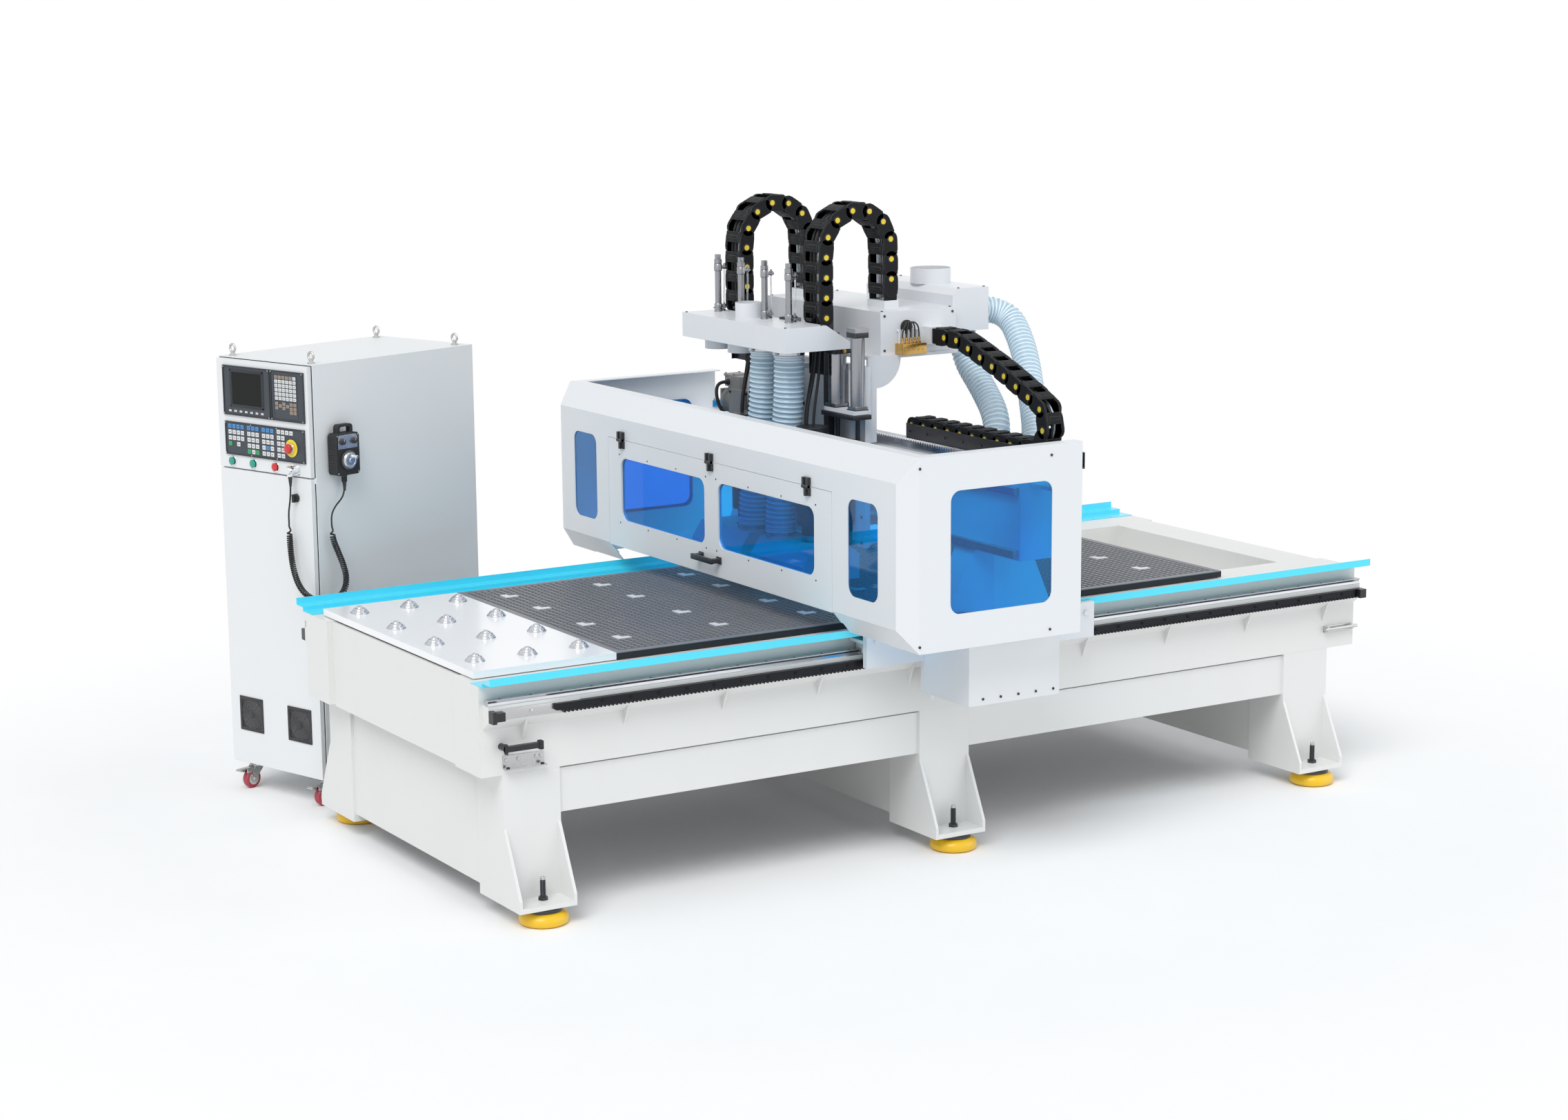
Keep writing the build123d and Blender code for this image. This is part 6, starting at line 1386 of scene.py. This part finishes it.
# %% Balance cylinders and chain plates
UNIT_YS = {"right": -90.0, "left": 390.0}
BALANCE_X, SHELF_TOP = -88, 1584
blocks = Sheet()
for unit_y in UNIT_YS.values():
    big_y, slim_y = unit_y - 6, unit_y - 146
    for y, half, top_z in ((big_y, 39, 1806), (slim_y, 31, 1878)):
        for z in ((top_z - 2, top_z + 19), (SHELF_TOP, SHELF_TOP + 20)):
            blocks.ink = 0
            blocks.box(span(BALANCE_X, half), span(y, half), z, 2.4)
        blocks.ink = 1
        screw_grid(blocks, span(BALANCE_X, half - 8), span(y, half - 8), top_z + 19, UP, 5.0, 4.0)
    blocks.ink = 2
    blocks.lathe((BALANCE_X, big_y - 39, 1815), MINUS_Y,
                 [(6, 0), (6, 5), (7.5, 6), (7.5, 12), (4, 13), (4, 18)], 12)
    blocks.ink = 0
    blocks.lathe((BALANCE_X, big_y, 1825), UP,
                 [(9, 0), (9, 16), (12, 17), (12, 34), (8, 36), (8, 58), (0, 58)], 20)
    blocks.box((-134, -52), (unit_y - 188, unit_y + 42), (SHELF_TOP - 18, SHELF_TOP), 2.0)
blocks.finish("balance_blocks", "head", [black_satin, steel_dark, brass_block], "black_steel")

for side_name, near_y in CHAIN_NEAR_YS.items():
    spindle = "spindle_" + side_name
    drop = Sheet()
    drop.box((-133, -128.5), (near_y + 4, near_y + 114), (1720, 1944), 1.5)
    for edge_y in (near_y + 4, near_y + 110):
        drop.box((-148, -129), (edge_y, edge_y + 4), (1720, 1900), 1.2)
    drop.ink = 1
    screw_grid(drop, -133, (near_y + 16, near_y + 102), (1750, 1880), MINUS_X, 5.0, 3.5)
    drop.finish("chain_plate_" + side_name, spindle, [black_satin, steel_dark], "black_steel")

# %% [markdown]
# A brass oil distributor feeds five thin lines that meet in a round gland on the head box. The
# gear motor has cooling fins, a terminal box with a lid, and a cable with its gland. Loose
# cables hang down in front of each spindle unit.

# %% Oil distributor, spindle cables and gear motor
OIL_Y, GLAND_X = -228, 160
oil = Sheet()
oil.box((106.4, 214.6), (-256, -199), (1796.4, 1837.6), 2.2)
for x in range(122, 200, 19):
    oil.ink = 0
    hexagon_head(oil, (x, OIL_Y, 1837), UP, 12.0, 8.0)
    oil.lathe((x, OIL_Y, 1845), UP, [(4.6, 0), (4.6, 7), (5.6, 8), (5.6, 13), (4, 14)], 14)
    oil.lathe((x, -256, 1816), MINUS_Y, [(5, 0), (5, 1.6), (3, 1.6), (0, 1.6)], 14)
    oil.ink = 1
    middle = GLAND_X + (x - GLAND_X) * 0.35
    oil.cable([(x, OIL_Y, 1858), (x, OIL_Y, 1884), (x * 0.6 + middle * 0.4, -232, 1908),
               (middle, -224, 1920), (middle, -204, 1908), (middle, -196, 1896)], 3.0)
oil.ink = 0
hexagon_head(oil, (214, OIL_Y, 1817), PLUS_X, 14.0, 10.0)
oil.lathe((224, OIL_Y, 1817), PLUS_X, [(4, 0), (4, 8)], 12)
oil.ink = 1
oil.lathe((158, -200.5, 1898), MINUS_Y, [(27, 0), (27, 2.5), (24, 4), (0, 4)], 32)
oil.finish("oil_distributor", "head", [brass_block, rubber_black], "zinc")

for side_name, unit_y in UNIT_YS.items():
    loops = Sheet()
    for offset, bow, radius in ((-26, 22, 5.5), (0, 40, 6.5), (22, 30, 4.5)):
        y = unit_y + 49 + offset
        loops.cable([(-140, y, 1946), (-141 - bow * 0.1, y, 1850), (-145 - bow * 0.3, y + 4, 1720),
                     (-158 - bow, y - 2, 1580), (-170 - bow * 0.6, y, 1470), (-166, y, 1360)],
                    radius, 10, 10)
    loops.finish("spindle_cables_" + side_name, "spindle_" + side_name, [rubber_black],
                 "black_rubber")

motor = Sheet()
for y in range(780, 840, 8):
    motor.lathe((-2, y, 1518), PLUS_Y, [(50, 0), (54, 0.8), (54, 3.2), (50, 4)], 40, False)
motor.box((-38, 34), (770, 842), (1576, 1618), 4.0)
motor.box((-41, 37), (767, 845), (1618, 1629), 3.0)
motor.ink = 1
screw_grid(motor, (-34, 30), (774, 838), 1629, UP, 4.0, 3.0)
screw_grid(motor, (-50, 45), 652, (1472, 1563), MINUS_Y, 5.5, 4.0)
screw_grid(motor, -60, (664, 760), (1472, 1563), MINUS_X, 5.0, 4.0)
motor.ink = 2
motor.lathe((-41, 800, 1598), MINUS_X, [(13, 0), (13, 8), (10, 10), (8, 20)], 16)
motor.cable([(-58, 800, 1598), (-92, 800, 1600), (-112, 790, 1560), (-104, 770, 1490),
             (-70, 740, 1440)], 7.0, 10, 10)
motor.finish("drive_motor_trim", "head", [motor_grey, steel_dark, rubber_black], "motor_grey")

# %% [markdown]
# Small dark screws run above and below the door's windows, and more of them sit on the guard,
# the drive boxes and the carriages.

# %% Guard hardware
DOOR_FACE_X = -590.0
GUARD_END_Y, DRIVE_FACE_Y, CARRIAGE_FACE_Y = 1290, 1150, 870
door_trim = Sheet()
for y0, y1 in ((57, 743), (-729, -21)):
    places = tuple(y0 + (y1 - y0) * step / 3 for step in range(4))
    screw_grid(door_trim, DOOR_FACE_X + 0.2, places, (1075, 1352), MINUS_X, 3.2, 1.8)
door_trim.finish("door_screws", "guard_door", [steel_dark], "black_steel")

guard_trim = Sheet()
for side, outward in ((-1, MINUS_Y), (1, PLUS_Y)):
    screw_grid(guard_trim, (-520, 40), side * GUARD_END_Y, (920, 1548), outward, 5.0, 3.0)
    places = tuple(range(-150, 200, 78))
    screw_grid(guard_trim, places, side * DRIVE_FACE_Y, 876, outward, 6.0, 3.5)
    screw_grid(guard_trim, places, side * DRIVE_FACE_Y, 660, outward, 5.0, 3.0)
    for x in (-440, -320, -200):
        hexagon_head(guard_trim, (x, side * CARRIAGE_FACE_Y, 884), outward, 17.0, 7.0)
guard_trim.finish("guard_screws", "gantry", [steel_dark, zinc_plate], "black_steel")

# %% [markdown]
# Each door hinge has two leaves. The upper one and its outer knuckles stay on the guard; the
# lower one and the middle knuckle swing with the door, and so does the handle.

# %% Hinges and handle of the door
HINGE_YS, HINGE_Z = (717.0, 17.0, -678.0), 1413.0
HANDLE_YS, HANDLE_Z = (-52.0, 106.0), 1041.0
hinge_fixed, hinge_moving = Sheet(), Sheet()
for y in HINGE_YS:
    for sheet, low, high, knuckles in ((hinge_fixed, 1417, 1447, ((-20, -7), (7, 20))),
                                       (hinge_moving, 1379, 1409, ((-6, 6),))):
        sheet.ink = 0
        sheet.box((-598, DOOR_FACE_X), span(y, 20), (low, high), 2.5)
        for start, end in knuckles:
            long = end - start
            sheet.lathe((-601, y + start, HINGE_Z), PLUS_Y,
                        [(6.5, 0), (7.5, 1), (7.5, long - 1), (6.5, long), (0, long)], 20)
            sheet.box((-606, -594), (y + start, y + end), (min(low, 1408), max(high, 1418)), 1.0)
        sheet.ink = 1
        screw_grid(sheet, -598, span(y, 11), (low + high) / 2, MINUS_X, 4.4, 2.2)
hinge_moving.ink = 0
hinge_moving.box((-635, -622), HANDLE_YS, span(HANDLE_Z, 11), 4.5)
for y in (HANDLE_YS[0] + 12, HANDLE_YS[1] - 12):
    hinge_moving.box((-626, DOOR_FACE_X), span(y, 11), span(HANDLE_Z, 9), 3.0)
    hinge_moving.box((-595, DOOR_FACE_X), span(y, 17), span(HANDLE_Z, 14), 2.0)
hinge_fixed.finish("hinge_leaves", "gantry", [black_satin, steel_dark], "black_steel",
                   ["guard_hinges"])
hinge_moving.finish("door_leaves_and_handle", "guard_door", [black_satin, steel_dark],
                    "black_steel", ["door_hardware"])

# %% [markdown]
# The last screws sit on the head box, the two manifolds and the carriage plate.

# %% Screws of the head
head_trim = Sheet()
screw_grid(head_trim, (58, 372), (-182, 220, 622), 1960, UP, 5.0, 3.0)
screw_grid(head_trim, (58, 372), -200, (1812, 1944), MINUS_Y, 5.0, 3.0)
screw_grid(head_trim, (-352, -190), (-144, 600), 1920, UP, 5.0, 3.0)
screw_grid(head_trim, -50, (-210, -30, 150, 430, 620), (1078, 1180, 1742), MINUS_X, 6.0, 4.0)
screw_grid(head_trim, (426, 546), (-162, 416), 2026, UP, 5.0, 3.0)
head_trim.finish("head_screws", "head", [steel_dark], "black_steel")
